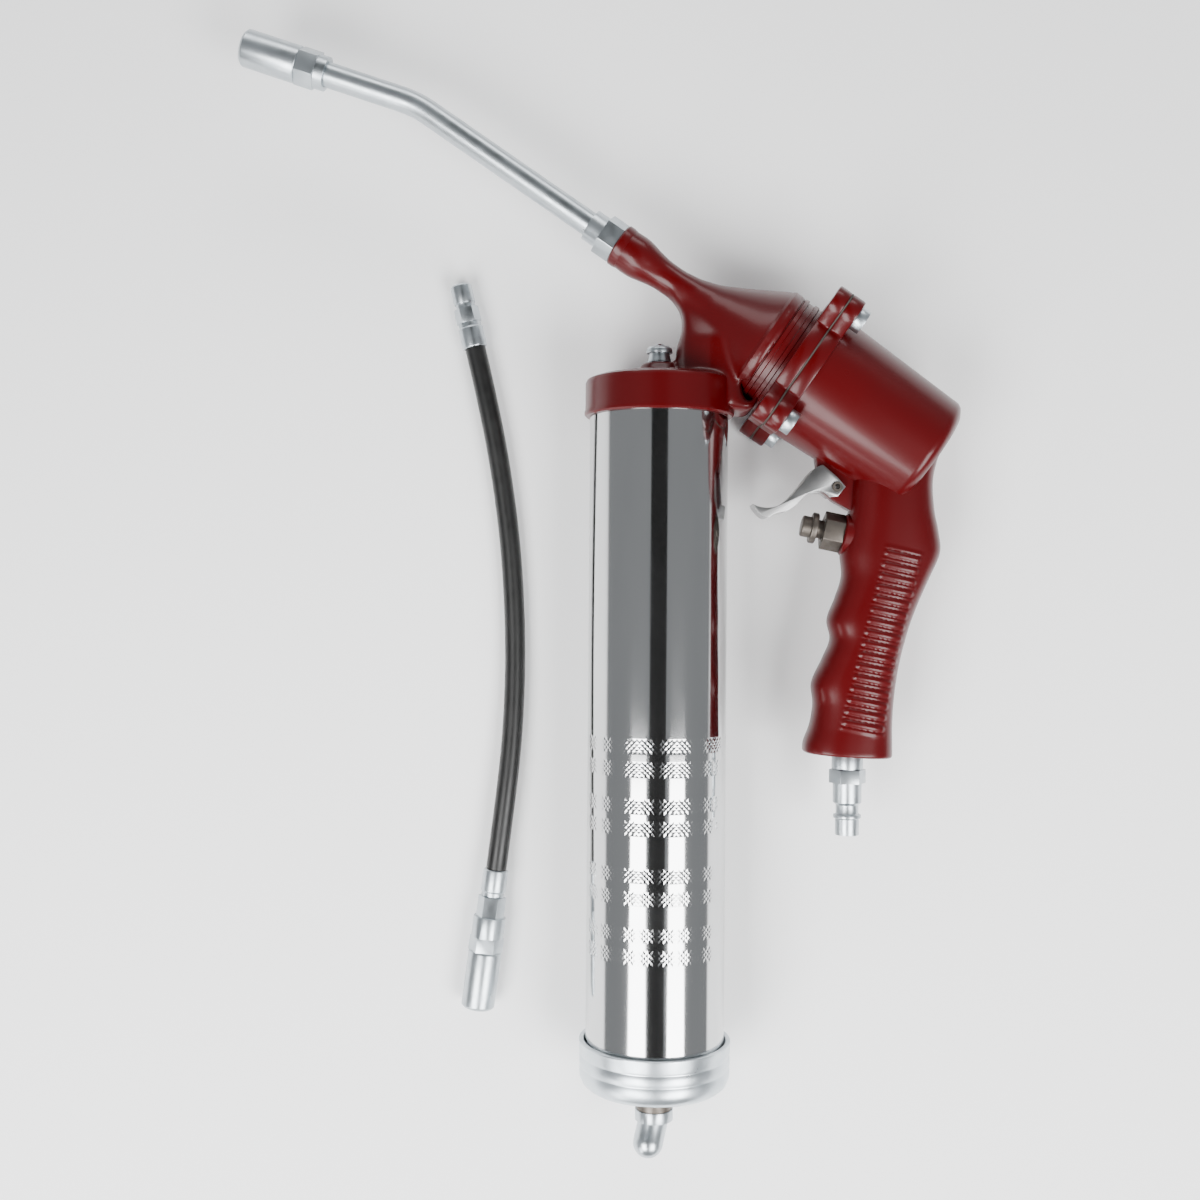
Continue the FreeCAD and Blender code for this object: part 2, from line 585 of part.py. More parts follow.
def make_flange_joint():
    """Gasket and the four socket-head screws of the flange."""
    half = size.gasket_thick / 2
    start, end = size.flange_joint - half, size.flange_joint + half
    holes = at_bolts(start - 1, end + 1, size.bolt_radius + size.bolt_clearance)
    holes.append(rod(start - 1, end + 1, size.spring_room_radius))
    keep(cut(fuse(flange(start, end)), holes), "flange_gasket", PUMP)
    head_end = size.flange_end + size.bolt_head_height
    screws = []
    for x in (-1, 1):
        for y in (-1, 1):
            blank = fuse([rod(size.collar_end, size.flange_end, size.bolt_radius),
                          rod(size.flange_end, head_end, size.bolt_head_radius)])
            screw = cut(blank, [hex_bar(head_end - 2.5, head_end + 1, size.bolt_socket_flats)])
            screws.append(moved(screw, size.bolt_offset * x, size.bolt_offset * y))
    group = doc.addObject("Part::Compound", "flange_screws")
    group.Links = screws
    keep(group, "flange_screws", PUMP)


def make_trigger():
    """Forked trigger on a hollow pin through the bracket."""
    edges = [smooth_edge(TRIGGER_FRONT), *[
        Part.LineSegment(Vector(*start, 0), Vector(*end, 0)).toShape()
        for start, end in zip(TRIGGER_CHEEK, TRIGGER_CHEEK[1:])], smooth_edge(TRIGGER_BACK)]
    blade = plate(edges, size.trigger_width.value, "trigger_blade")
    slot = block((size.trigger_slot_x, -45, -size.trigger_slot / 2), (20, 30, size.trigger_slot))
    hole = moved(rod(-8, 8, size.pin_radius + size.running_gap), size.pivot_x, size.pivot_y)
    keep(cut(blade, [slot, hole]), "trigger")
    half = size.pin_length / 2
    pin = cut(rod(-half, half, size.pin_radius), [rod(-half - 1, half + 1, size.pin_bore)])
    axis = FreeCAD.Placement(gun_point(size.pivot_x, size.pivot_y), FreeCAD.Rotation())
    keep(pin, "trigger_pin").Placement = resting(axis)


def make_air_valve():
    """Hexagonal valve body in the grip, with the button that the trigger presses."""
    hex_start, hex_end, shank_end = size.valve_hex_start, size.valve_hex_end, size.valve_shank_end
    stem_bore = size.valve_stem_radius + size.running_gap
    room_start = hex_end + 2
    body = fuse([hex_bar(hex_start, hex_end, size.valve_hex_flats),
                 rod(hex_end, shank_end, size.valve_shank_radius)])
    keep(cut(body, [rod(hex_start - 1, room_start, stem_bore),
                    rod(hex_start - 1, hex_start + 4, size.valve_neck_radius + 0.3),
                    rod(room_start - 0.1, shank_end + 1, size.valve_shank_radius - 1.5)]),
         "air_valve_body", VALVE)
    stem_end = room_start + 2.5
    turned([(0, 0), (0, size.button_radius - 0.5), (0.5, size.button_radius),
            (size.button, size.button_radius), (size.button, size.ring_radius - 0.3),
            (size.button + 0.3, size.ring_radius), (size.ring_end - 0.3, size.ring_radius),
            (size.ring_end, size.ring_radius - 0.3), (size.ring_end, size.valve_neck_radius),
            (hex_start + 1.5, size.valve_neck_radius), (hex_start + 1.5, size.valve_stem_radius),
            (stem_end, size.valve_stem_radius), (stem_end, 0)], "valve_button", VALVE)
    poppet_start = room_start + 0.1
    turned([(poppet_start, size.valve_stem_radius), (poppet_start, size.poppet_radius),
            (stem_end, size.poppet_radius), (stem_end, size.valve_stem_radius)],
           "valve_poppet", VALVE)
    coil_spring(stem_end, shank_end, size.valve_coil, size.valve_wire, 5, "valve_spring", VALVE)


def make_air_inlet():
    """Bushing in the foot of the grip and the quick-connect plug screwed into it."""
    solids = [rod(-size.inlet_shank, 0, size.inlet_shank_radius),
              rod(0, size.inlet_collar, size.inlet_collar_radius)]
    shank_bore = size.plug_shank_radius + size.thread_gap
    keep(cut(fuse(solids), [rod(-size.inlet_shank - 1, size.inlet_collar + 1, shank_bore)]),
         "inlet_bushing", INLET)
    nose = size.plug_nose_radius
    stem = turned_body([
        (-4, 0), (-4, size.plug_shank_radius), (size.inlet_collar, size.plug_shank_radius),
        (size.inlet_hex, size.plug_shank_radius), (size.inlet_hex, size.plug_body_radius),
        (size.plug_body - 1, size.plug_body_radius), (size.plug_body, size.plug_neck_radius),
        (size.plug_neck, size.plug_neck_radius), (size.plug_neck + 0.5, size.plug_ring_radius),
        (size.plug_ring - 0.5, size.plug_ring_radius), (size.plug_ring, nose),
        (size.plug_end, nose), (size.plug_end, 0)], "plug_stem")
    hex_part = hex_bar(size.inlet_collar, size.inlet_hex, size.inlet_hex_flats)
    keep(cut(fuse([stem, hex_part]), [rod(-5, size.plug_end + 1, size.plug_bore)]),
         "inlet_plug", INLET)


# ---------------------------------------------------------------- barrel and follower

def make_barrel():
    """Grease barrel, its seal, end cap and the bushing that the rod slides in."""
    inner = size.barrel_radius - size.barrel_wall
    turned(ring(size.barrel_foot, size.barrel_top, inner, size.barrel_radius), "barrel_tube", BARREL)
    turned(ring(size.barrel_top + 0.1, size.seal_top, size.barrel_radius - size.seal_width,
                size.barrel_radius), "barrel_seal", BARREL)
    mouth, floor, base = size.cap_mouth, size.cap_floor, size.cap_base
    radius, fit = size.cap_radius, size.barrel_radius + size.thread_gap
    hole = size.bushing_radius + size.thread_gap
    turned([(base, hole), (base, radius - 6), (base + 0.8, radius - 3.2), (base + 2.4, radius - 1.3),
            (base + 5, radius - 0.2), (base + 7.6, radius), (base + 8.9, radius - 0.5),
            (base + 10.2, radius), (base + 12.6, radius), (base + 13.8, radius - 0.5),
            (base + 15, radius), (mouth - 1.5, radius), (mouth - 0.6, radius + size.cap_lip),
            (mouth, radius), (mouth, fit + 0.8), (mouth - 2.5, fit), (floor, fit), (floor, hole)],
           "barrel_end_cap", BARREL)
    bore = size.rod_radius + size.running_gap
    turned([(size.bushing_end, bore), (size.bushing_end, size.bushing_radius),
            (floor, size.bushing_radius), (floor, size.bushing_flange),
            (floor + 2, size.bushing_flange), (floor + 2, bore)], "cap_bushing", BARREL)


def make_follower():
    """Rod, handle and the cup that pushes the grease towards the head."""
    rod_radius, bore = size.rod_radius, size.rod_radius + size.thread_gap
    back = size.follower_back
    cup_floor = back + size.cup_floor
    radius = size.follower_radius
    turned([(size.rod_foot, 0), (size.rod_foot, rod_radius), (size.rod_top - 0.5, rod_radius),
            (size.rod_top, rod_radius - 0.5), (size.rod_top, 0)], "follower_rod", BARREL)
    turned(ring(back - size.plate_thick, back, bore, size.plate_radius), "follower_back_plate",
           BARREL)
    turned([(back, bore), (back, radius - 1.5), (back + 1.5, radius),
            (back + size.cup_lip, radius), (back + size.cup_lip, radius - size.cup_wall / 2),
            (cup_floor, radius - size.cup_wall), (cup_floor, bore)], "follower_cup", BARREL)
    nut_start = cup_floor + size.plate_thick
    turned(ring(cup_floor, nut_start, bore, size.plate_radius - 2), "follower_front_plate", BARREL)
    nut_end = nut_start + size.follower_nut_height
    keep(cut(hex_bar(nut_start, nut_end, size.follower_nut_flats),
             [rod(nut_start - 1, nut_end + 1, bore)]), "follower_nut", BARREL)
    coil_spring(size.cap_floor, back - size.plate_thick, size.follower_coil, size.follower_wire, 13,
                "follower_spring", BARREL)
    collar_top = size.bushing_end - 0.1
    collar_end = collar_top - size.handle_collar
    bend = Vector(0, 0, collar_end.value + 1)
    tip = bend + Vector(size.handle_lean.value * 0.5, size.handle_lean.value,
                        -size.handle_reach.value)
    reach = tip - bend
    lever = shaped(Part.makeCylinder(size.handle_radius.value, reach.Length, bend, reach), "lever")
    knob = shaped(Part.makeSphere(size.handle_radius.value, tip), "knob")
    solids = [rod(collar_end, collar_top, size.handle_collar_radius), lever, knob]
    keep(cut(fuse(solids), [rod(size.rod_foot, collar_top + 1, bore)]), "rod_handle", BARREL)


# ---------------------------------------------------------------- couplers and spare hose

def make_coupler_nose(prefix, axis, face, end, radius):
    """Sleeve, jaws, seal and spring that grip a grease nipple, in front of a coupler body."""
    core_end = as_dim(face) + size.coupler_core
    lip = as_dim(end) - size.coupler_lip
    jaw_start = lip - size.jaw_length
    seal_start = jaw_start - size.coupler_seal
    turned([(face, size.coupler_core_radius + size.thread_gap), (face, radius - 0.4),
            (as_dim(face) + 0.4, radius), (as_dim(end) - 1.2, radius), (end, radius - 1.2),
            (end, size.mouth_radius + 0.8), (as_dim(end) - 1, size.mouth_radius),
            (lip, size.mouth_radius), (lip, size.coupler_core_radius + size.thread_gap)],
           prefix + "_sleeve", axis)
    blank = rod(jaw_start, lip, size.jaw_radius)
    slits = [block((-10, -size.jaw_slit / 2, jaw_start + 2), (20, size.jaw_slit, size.jaw_length)),
             block((-size.jaw_slit / 2, -10, jaw_start + 2), (size.jaw_slit, 20, size.jaw_length))]
    bore = rod(jaw_start - 1, lip + 1, size.jaw_bore)
    keep(cut(blank, [bore, *slits]), prefix + "_jaws", axis)
    turned(ring(seal_start, jaw_start, size.coupler_bore, size.jaw_radius), prefix + "_seal", axis)
    coil_spring(core_end, seal_start, size.coupler_coil, size.coupler_wire, 2, prefix + "_spring",
                axis)
    return core_end


def make_nozzle():
    """Hydraulic coupler on the end of the rigid pipe."""
    core_end = make_coupler_nose("nozzle", TIP, size.nozzle_face, size.nozzle_end,
                                 size.nozzle_radius)
    solids = [rod(size.nozzle_start, size.nozzle_hex, size.nozzle_collar_radius),
              hex_bar(size.nozzle_hex, size.nozzle_face, size.nozzle_hex_flats),
              rod(size.nozzle_face, core_end, size.coupler_core_radius)]
    pipe_end = size.nozzle_pipe_end
    bores = [rod(size.nozzle_start - 1, pipe_end, size.pipe_radius + size.thread_gap),
             rod(pipe_end - 1, core_end + 1, size.coupler_bore)]
    keep(cut(fuse(solids), bores), "nozzle_body", TIP)


def make_spare_hose():
    """Flexible hose with a threaded nipple at one end and a coupler at the other."""
    path, radii = rounded_path(HOSE_ROUTE)
    radius = size.hose_radius.value
    hose = keep(shaped(swept_tube(path, radius), "spare_hose"), "spare_hose")
    print("spare hose bends, mm:", [round(bend) for bend in radii])
    section = math.pi * radius ** 2 * path.Length
    print(f"spare hose {path.Length:.1f} mm, volume over section {hose.Shape.Volume / section:.4f}")
    for label, axis, length in (("hose_nipple_ferrule", HOSE_START, size.ferrule_length),
                                ("hose_coupler_ferrule", HOSE_END, size.end_ferrule_length)):
        rim, hold = size.ferrule_radius, size.hose_bore
        turned([(0, hold), (0, rim - 0.3), (0.3, rim), (length - 2.5, rim), (length - 2, rim - 0.5),
                (length, rim - 0.5), (length, hold)], label, axis)
    hex_end, nipple_end = size.nipple_hex_end, size.nipple_end
    thread = size.nipple_thread_radius
    solids = [hex_bar(size.ferrule_length, hex_end, size.nipple_hex_flats),
              rod(hex_end, hex_end + 2, thread - 0.5), rod(hex_end + 2, nipple_end - 0.8, thread),
              taper(nipple_end - 0.8, nipple_end, thread, thread - 0.8)]
    keep(cut(fuse(solids), [rod(size.ferrule_length - 1, nipple_end + 1, size.hose_bore)]),
         "hose_nipple", HOSE_START)
    core_end = make_coupler_nose("hose_coupler", HOSE_END, size.hose_ring_end,
                                 size.hose_coupler_end, size.hose_coupler_radius)
    start, body_end = size.end_ferrule_length, size.hose_body_end
    solids = [hex_bar(start, size.hose_hex_end, size.hose_hex_flats),
              rod(size.hose_hex_end, body_end, size.hose_body_radius),
              hex_bar(body_end, size.hose_ring_end, size.hose_ring_flats),
              rod(size.hose_ring_end, core_end, size.coupler_core_radius)]
    keep(cut(fuse(solids), [rod(start - 1, core_end + 1, size.coupler_bore)]),
         "hose_coupler_body", HOSE_END)


def write_pieces():
    """Check every object, then write one STEP file for each piece."""
    doc.recompute()
    for item in doc.Objects:
        if "Invalid" in item.State or "Error" in item.State:
            raise RuntimeError(f"{item.Name} did not recompute: {item.State}")
    for item in pieces:
        if item.Shape.isNull() or not item.Shape.isValid():
            raise RuntimeError(f"{item.Label} has no valid shape")
    os.makedirs("parts", exist_ok=True)
    for item in pieces:
        item.Shape.exportStep(os.path.join("parts", item.Label + ".step"))
    print(len(pieces), "pieces written")


make_head_casting()
make_outlet()
make_pump()
make_bleeder()
make_grip_casting()
make_flange_joint()
make_trigger()
make_air_valve()
make_air_inlet()
make_barrel()
make_follower()
make_nozzle()
make_spare_hose()
write_pieces()
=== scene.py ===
import json
import logging
import math
from dataclasses import dataclass, field
from enum import Enum
from typing import Callable, Iterable, Optional, Sequence

import bpy
from mathutils import Matrix, Vector


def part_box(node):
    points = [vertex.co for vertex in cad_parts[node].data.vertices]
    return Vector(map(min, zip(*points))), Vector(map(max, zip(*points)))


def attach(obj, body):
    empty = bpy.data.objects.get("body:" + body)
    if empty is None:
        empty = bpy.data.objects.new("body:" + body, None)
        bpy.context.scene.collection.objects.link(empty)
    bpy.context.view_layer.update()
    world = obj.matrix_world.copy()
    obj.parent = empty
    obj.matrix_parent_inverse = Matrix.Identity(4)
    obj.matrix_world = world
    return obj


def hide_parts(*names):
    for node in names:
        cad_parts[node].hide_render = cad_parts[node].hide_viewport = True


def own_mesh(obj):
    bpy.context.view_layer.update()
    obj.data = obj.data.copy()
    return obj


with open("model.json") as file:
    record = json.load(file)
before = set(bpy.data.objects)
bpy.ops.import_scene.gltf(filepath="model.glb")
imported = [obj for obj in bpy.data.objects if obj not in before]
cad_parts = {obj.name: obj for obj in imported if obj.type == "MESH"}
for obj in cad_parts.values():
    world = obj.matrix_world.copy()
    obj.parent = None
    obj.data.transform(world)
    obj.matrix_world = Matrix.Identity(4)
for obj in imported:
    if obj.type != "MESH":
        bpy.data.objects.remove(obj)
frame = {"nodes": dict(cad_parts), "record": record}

logging.basicConfig(level=logging.INFO, format="%(name)s: %(message)s")
log = logging.getLogger("grease_gun")

MM = 0.001
BARREL_ABOVE_RIM = 8.9
MERGE = 0.002 * MM
FINE_MERGE = 0.0005 * MM


class Body(Enum):
    """The moving bodies that finished pieces ride on."""

    GUN = "gun_frame"
    BARREL = "barrel"
    ROD = "follower_rod"
    TRIGGER = "trigger"
    BUTTON = "valve_button"
    HOSE = "spare_hose"


class Solid(Enum):
    """What a tool does to the piece that it is combined with."""

    JOIN = "UNION"
    CUT = "DIFFERENCE"


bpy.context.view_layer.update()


# ---------------------------------------------------------------- where things are

BARREL_FOOT, BARREL_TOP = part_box("barrel_tube")
HEAD_RIM = Vector(((BARREL_FOOT.x + BARREL_TOP.x) / 2, BARREL_TOP.y - BARREL_ABOVE_RIM * MM,
                   (BARREL_FOOT.z + BARREL_TOP.z) / 2))


def gun_point(x: float, y: float, z: float = 0.0) -> Vector:
    """A point of the gun's own frame, in metres of the part's frame.

    Args:
        x: millimetres from the barrel axis towards the grip.
        y: millimetres up the barrel from the lower rim of the head.
        z: millimetres above the gun's mid-plane.

    Returns:
        The point in metres.
    """
    return HEAD_RIM + Vector((x, y, z)) * MM


@dataclass(frozen=True)
class Line:
    """A line in the gun's mid-plane, or square to it, that pieces are turned about.

    Attributes:
        x: millimetres from the barrel axis towards the grip.
        y: millimetres up the barrel from the lower rim of the head.
        heading: degrees from +X in the mid-plane; None is straight out of the side.
    """

    x: float
    y: float
    heading: Optional[float]

    def matrix(self) -> Matrix:
        """Takes local Z along the line and local Y out of the gun's side."""
        place = Matrix.Translation(gun_point(self.x, self.y))
        if self.heading is None:
            return place
        turn = math.radians(self.heading)
        along = Vector((math.cos(turn), math.sin(turn), 0))
        out = Vector((0, 0, 1))
        side = out.cross(along)
        axes = Matrix((side, out, along)).transposed()
        return place @ axes.to_4x4()

    def point(self, along: float, across: float = 0.0) -> Vector:
        """A point of the mid-plane beside the line, in metres."""
        turn = math.radians(self.heading)
        return gun_point(self.x + along * math.cos(turn) - across * math.sin(turn),
                         self.y + along * math.sin(turn) + across * math.cos(turn))


BARREL = Line(0, 0, 90)
PUMP = Line(0, 58.5, -34.3)
VALVE = Line(59, -45.2, -11.4)
INLET = Line(78.8, -139.6, -90)


# ---------------------------------------------------------------- material building

def linear(hex_colour: str) -> tuple[float, float, float, float]:
    """An sRGB hex colour as linear values for a shader.

    Args:
        hex_colour: six hex digits, such as "7a1014".

    Returns:
        Linear red, green, blue and an alpha of 1.
    """
    channels = [int(hex_colour[i:i + 2], 16) / 255 for i in (0, 2, 4)]
    curved = [c / 12.92 if c <= 0.04045 else ((c + 0.055) / 1.055) ** 2.4 for c in channels]
    return (*curved, 1.0)


def add_node(material: bpy.types.Material, kind: str, settings: Optional[dict] = None,
             inputs: Optional[dict] = None) -> bpy.types.Node:
    """Add a node with its settings, socket values and links.

    Args:
        material: the material whose tree gets the node.
        kind: the node's type, such as "ShaderNodeTexNoise".
        settings: attributes of the node.
        inputs: socket name or number to a value, or to an output socket to link from.

    Returns:
        The new node.
    """
    tree = material.node_tree
    node = tree.nodes.new(kind)
    for name, value in (settings or {}).items():
        setattr(node, name, value)
    for name, value in (inputs or {}).items():
        if isinstance(value, bpy.types.NodeSocket):
            tree.links.new(value, node.inputs[name])
        else:
            node.inputs[name].default_value = value
    return node


@dataclass(frozen=True)
class Finish:
    """A surface finish: what it is made of and how its surface was made.

    Attributes:
        name: the material's name.
        colour: sRGB hex of the surface.
        worn: sRGB hex of the faint second tone that mottles it.
        metallic: 1 for bare metal, 0 for paint, rubber and fibre.
        roughness: middle roughness.
        roughness_spread: how far the roughness wanders either way.
        mottle_mm: size of the mottling.
        grain_mm: size of the fine surface grain.
        grain_depth_mm: height of that grain.
        coat: strength of a clear coat.
        coat_roughness: roughness of that coat.
        specular: strength of the shine on what isn't metal.
        stretch: how the grain and mottling are squeezed along X, Y and Z.
    """

    name: str
    colour: str
    worn: str
    metallic: float
    roughness: float
    roughness_spread: float = 0.05
    mottle_mm: float = 9.0
    grain_mm: float = 0.8
    grain_depth_mm: float = 0.01
    coat: float = 0.0
    coat_roughness: float = 0.05
    specular: float = 0.5
    stretch: tuple[float, float, float] = (1.0, 1.0, 1.0)

    def material(self) -> bpy.types.Material:
        """The Blender material for this finish, made once."""
        found = bpy.data.materials.get(self.name)
        return found if found else self.build()

    def build(self) -> bpy.types.Material:
        """Build the node tree: mottled colour, wandering roughness and a fine grain."""
        made = bpy.data.materials.new(self.name)
        made.use_nodes = True
        made.node_tree.nodes.clear()
        place = add_node(made, "ShaderNodeTexCoord")
        mapped = add_node(made, "ShaderNodeMapping", {}, {
            "Vector": place.outputs["Object"], "Scale": self.stretch})
        mottle = add_node(made, "ShaderNodeTexNoise", {}, {
            "Vector": mapped.outputs["Vector"], "Scale": 1 / (self.mottle_mm * MM),
            "Detail": 2.0, "Roughness": 0.5})
        colour = add_node(made, "ShaderNodeMix", {"data_type": "RGBA"}, {
            0: mottle.outputs["Fac"], 6: linear(self.colour), 7: linear(self.worn)})
        rough = add_node(made, "ShaderNodeMapRange", {"interpolation_type": "SMOOTHSTEP"}, {
            "Value": mottle.outputs["Fac"], "From Min": 0.2, "From Max": 0.8,
            "To Min": max(0.02, self.roughness - self.roughness_spread),
            "To Max": self.roughness + self.roughness_spread})
        shader = add_node(made, "ShaderNodeBsdfPrincipled", {}, {
            "Base Color": colour.outputs[2], "Metallic": self.metallic,
            "Roughness": rough.outputs["Result"],
            "Specular IOR Level": self.specular,
            "Coat Weight": self.coat, "Coat Roughness": self.coat_roughness})
        self.add_relief(made, mapped, shader)
        add_node(made, "ShaderNodeOutputMaterial", {}, {"Surface": shader.outputs["BSDF"]})
        return made

    def add_relief(self, made: bpy.types.Material, mapped: bpy.types.Node,
                   shader: bpy.types.Node) -> None:
        """Link the fine surface grain to the shader."""
        grain = add_node(made, "ShaderNodeTexNoise", {}, {
            "Vector": mapped.outputs["Vector"], "Scale": 1 / (self.grain_mm * MM), "Detail": 2.0})
        bump = add_node(made, "ShaderNodeBump", {}, {
            "Height": grain.outputs["Fac"], "Strength": 1.0,
            "Distance": self.grain_depth_mm * MM})
        made.node_tree.links.new(bump.outputs["Normal"], shader.inputs["Normal"])


# Stove enamel over a die casting: deep red, glossy, with a faint orange peel and darker pools.
RED_ENAMEL = Finish("red_stove_enamel", "4c0205", "450205", 0.0, 0.3, 0.03, 34.0, 2.6, 0.0008,
                    coat=0.1, coat_roughness=0.12, specular=0.24)
# Bright chrome plate on rolled tube: nearly a mirror, with a faint draw along the barrel.
BARREL_CHROME = Finish("bright_chrome_plate", "d0d1d1", "bcbdbe", 1.0, 0.1, 0.03, 16.0, 1.6, 0.0004,
                       stretch=(1.0, 0.3, 1.0))
# Satin chrome on a cast lever: bright, but a little blurred by the polish under it.
SATIN_CHROME = Finish("satin_chrome_plate", "b0b0b0", "9c9c9c", 1.0, 0.36, 0.05, 6.0, 0.7, 0.0015)
# Bright zinc plate on turned steel: a cool blue-white metal with cloudy patches.
ZINC = Finish("bright_zinc_plate", "c2c8cb", "a9b1b7", 1.0, 0.33, 0.06, 5.0, 0.6, 0.0015)
# Zinc plate on a pressed cap: softer and whiter, clouded round its beads.
ZINC_CAP = Finish("zinc_plated_pressing", "d3dade", "bcc5cc", 1.0, 0.34, 0.07, 8.0, 0.9, 0.0015)
# Phosphated steel: dark grey-brown and dull, with bright rubbed edges left to the roughness.
PHOSPHATE = Finish("phosphated_steel", "6a645e", "544e48", 0.85, 0.45, 0.08, 3.0, 0.5, 0.003)
# Ground and polished steel rod.
POLISHED_STEEL = Finish("ground_steel", "b9bbbe", "a8aaae", 1.0, 0.2, 0.04, 6.0, 0.4, 0.003)
# Oiled spring wire: dark, drawn steel.
SPRING_WIRE = Finish("oiled_spring_wire", "74767a", "5c5e62", 1.0, 0.34, 0.06, 2.0, 0.3, 0.004)
# Nitrile rubber of the seals: matte black.
NITRILE = Finish("nitrile_rubber", "1b1b1c", "242425", 0.0, 0.6, 0.08, 3.0, 0.4, 0.02)
# Hose cover: extruded synthetic rubber, satin black with a soft sheen.
HOSE_COVER = Finish("extruded_rubber_cover", "040404", "090908", 0.0, 0.42, 0.06, 5.0, 0.5, 0.006)
# Compressed fibre sheet of the gasket.
FIBRE = Finish("compressed_fibre_sheet", "3b3733", "4a453f", 0.0, 0.85, 0.05, 1.5, 0.3, 0.02)
# Turned aluminium piston.
ALUMINIUM = Finish("turned_aluminium", "cfd0d1", "bcbdbf", 1.0, 0.3, 0.05, 4.0, 0.3, 0.005)
# Turned brass gland.
BRASS = Finish("turned_brass", "c79a4b", "b0843a", 1.0, 0.26, 0.05, 4.0, 0.3, 0.005)

CAD_FINISHES: dict[Finish, tuple[str, ...]] = {
    ZINC: ("outlet_adapter", "rigid_extension", "bleeder_body", "flange_screws",
           "inlet_bushing", "inlet_plug", "nozzle_body", "nozzle_sleeve", "follower_nut",
           "follower_back_plate", "follower_front_plate", "piston_nut", "hose_nipple_ferrule",
           "hose_nipple", "hose_coupler_ferrule", "hose_coupler_body", "hose_coupler_sleeve",
           "rod_handle"),
    ZINC_CAP: ("barrel_end_cap",),
    # trigger_pin takes this dark finish as painted shade: its whole surface is darkened to stand
    # for the shade inside its hollow end.
    PHOSPHATE: ("air_valve_body", "valve_button", "cap_bushing", "trigger_pin"),
    POLISHED_STEEL: ("check_ball", "bleeder_pin", "grease_plunger", "follower_rod",
                     "nozzle_jaws", "hose_coupler_jaws"),
    SPRING_WIRE: ("check_spring", "bleeder_spring", "valve_spring", "return_spring",
                  "nozzle_spring", "follower_spring", "hose_coupler_spring"),
    NITRILE: ("barrel_seal", "plunger_seal", "piston_seal", "valve_poppet", "nozzle_seal",
              "hose_coupler_seal", "follower_cup"),
    HOSE_COVER: ("spare_hose",),
    FIBRE: ("flange_gasket",),
    ALUMINIUM: ("air_piston",),
    BRASS: ("plunger_gland",),
    RED_ENAMEL: ("head_casting", "grip_casting"),
    BARREL_CHROME: ("barrel_tube",),
    SATIN_CHROME: ("trigger",),
}


def dress(piece: bpy.types.Object, finish: Finish) -> bpy.types.Object:
    """Give a piece one finish all over."""
    piece.data.materials.clear()
    piece.data.materials.append(finish.material())
    return piece


# ---------------------------------------------------------------- mesh tools

def deselect() -> None:
    """Leave edit mode and select nothing."""
    if bpy.context.object and bpy.context.object.mode != "OBJECT":
        bpy.ops.object.mode_set(mode="OBJECT")
    bpy.ops.object.select_all(action="DESELECT")


def choose(piece: bpy.types.Object) -> bpy.types.Object:
    """Make a piece the only one selected, and the active one."""
    deselect()
    piece.select_set(True)
    bpy.context.view_layer.objects.active = piece
    return piece


def apply_modifier(piece: bpy.types.Object, kind: str, **settings: object) -> None:
    """Add a modifier with these settings and apply it.

    Args:
        piece: the mesh that is changed.
        kind: the modifier's type, such as "BEVEL".
        **settings: the modifier's attributes.
    """
    choose(piece)
    modifier = piece.modifiers.new(kind.lower(), kind)
    for name, value in settings.items():
        setattr(modifier, name, value)
    bpy.ops.object.modifier_apply(modifier=modifier.name)


def settle(piece: bpy.types.Object) -> bpy.types.Object:
    """Put a piece's place into its mesh, so that its object sits at the origin."""
    choose(piece)
    bpy.ops.object.transform_apply(location=True, rotation=True, scale=True)
    return piece


def face_outwards(piece: bpy.types.Object, merge: float = MERGE) -> None:
    """Merge a mesh's doubled points and turn its faces outwards."""
    choose(piece)
    bpy.ops.object.mode_set(mode="EDIT")
    bpy.ops.mesh.select_all(action="SELECT")
    bpy.ops.mesh.remove_doubles(threshold=merge)
    bpy.ops.mesh.normals_make_consistent(inside=False)
    bpy.ops.object.mode_set(mode="OBJECT")


def smooth(piece: bpy.types.Object, degrees: float) -> None:
    """Smooth the shading across edges flatter than this angle."""
    choose(piece)
    bpy.ops.object.shade_smooth_by_angle(angle=math.radians(degrees))


def round_edges(piece: bpy.types.Object, width_mm: float, from_degrees: float = 35) -> None:
    """Round a piece's edges that are sharper than an angle."""
    apply_modifier(piece, "BEVEL", width=width_mm * MM, segments=2, limit_method="ANGLE",
                   angle_limit=math.radians(from_degrees), harden_normals=False)


def merged_copy(node: str, name: str) -> bpy.types.Object:
    """A new piece from a CAD node's mesh, its loose triangles merged and flats joined."""
    piece = bpy.data.objects.new(name, frame["nodes"][node].data.copy())
    bpy.context.scene.collection.objects.link(piece)
    choose(piece)
    bpy.ops.mesh.customdata_custom_splitnormals_clear()
    bpy.ops.object.mode_set(mode="EDIT")
    bpy.ops.mesh.select_all(action="SELECT")
    bpy.ops.mesh.remove_doubles(threshold=MERGE)
    bpy.ops.mesh.dissolve_limited(angle_limit=math.radians(0.5))
    bpy.ops.object.mode_set(mode="OBJECT")
    return piece


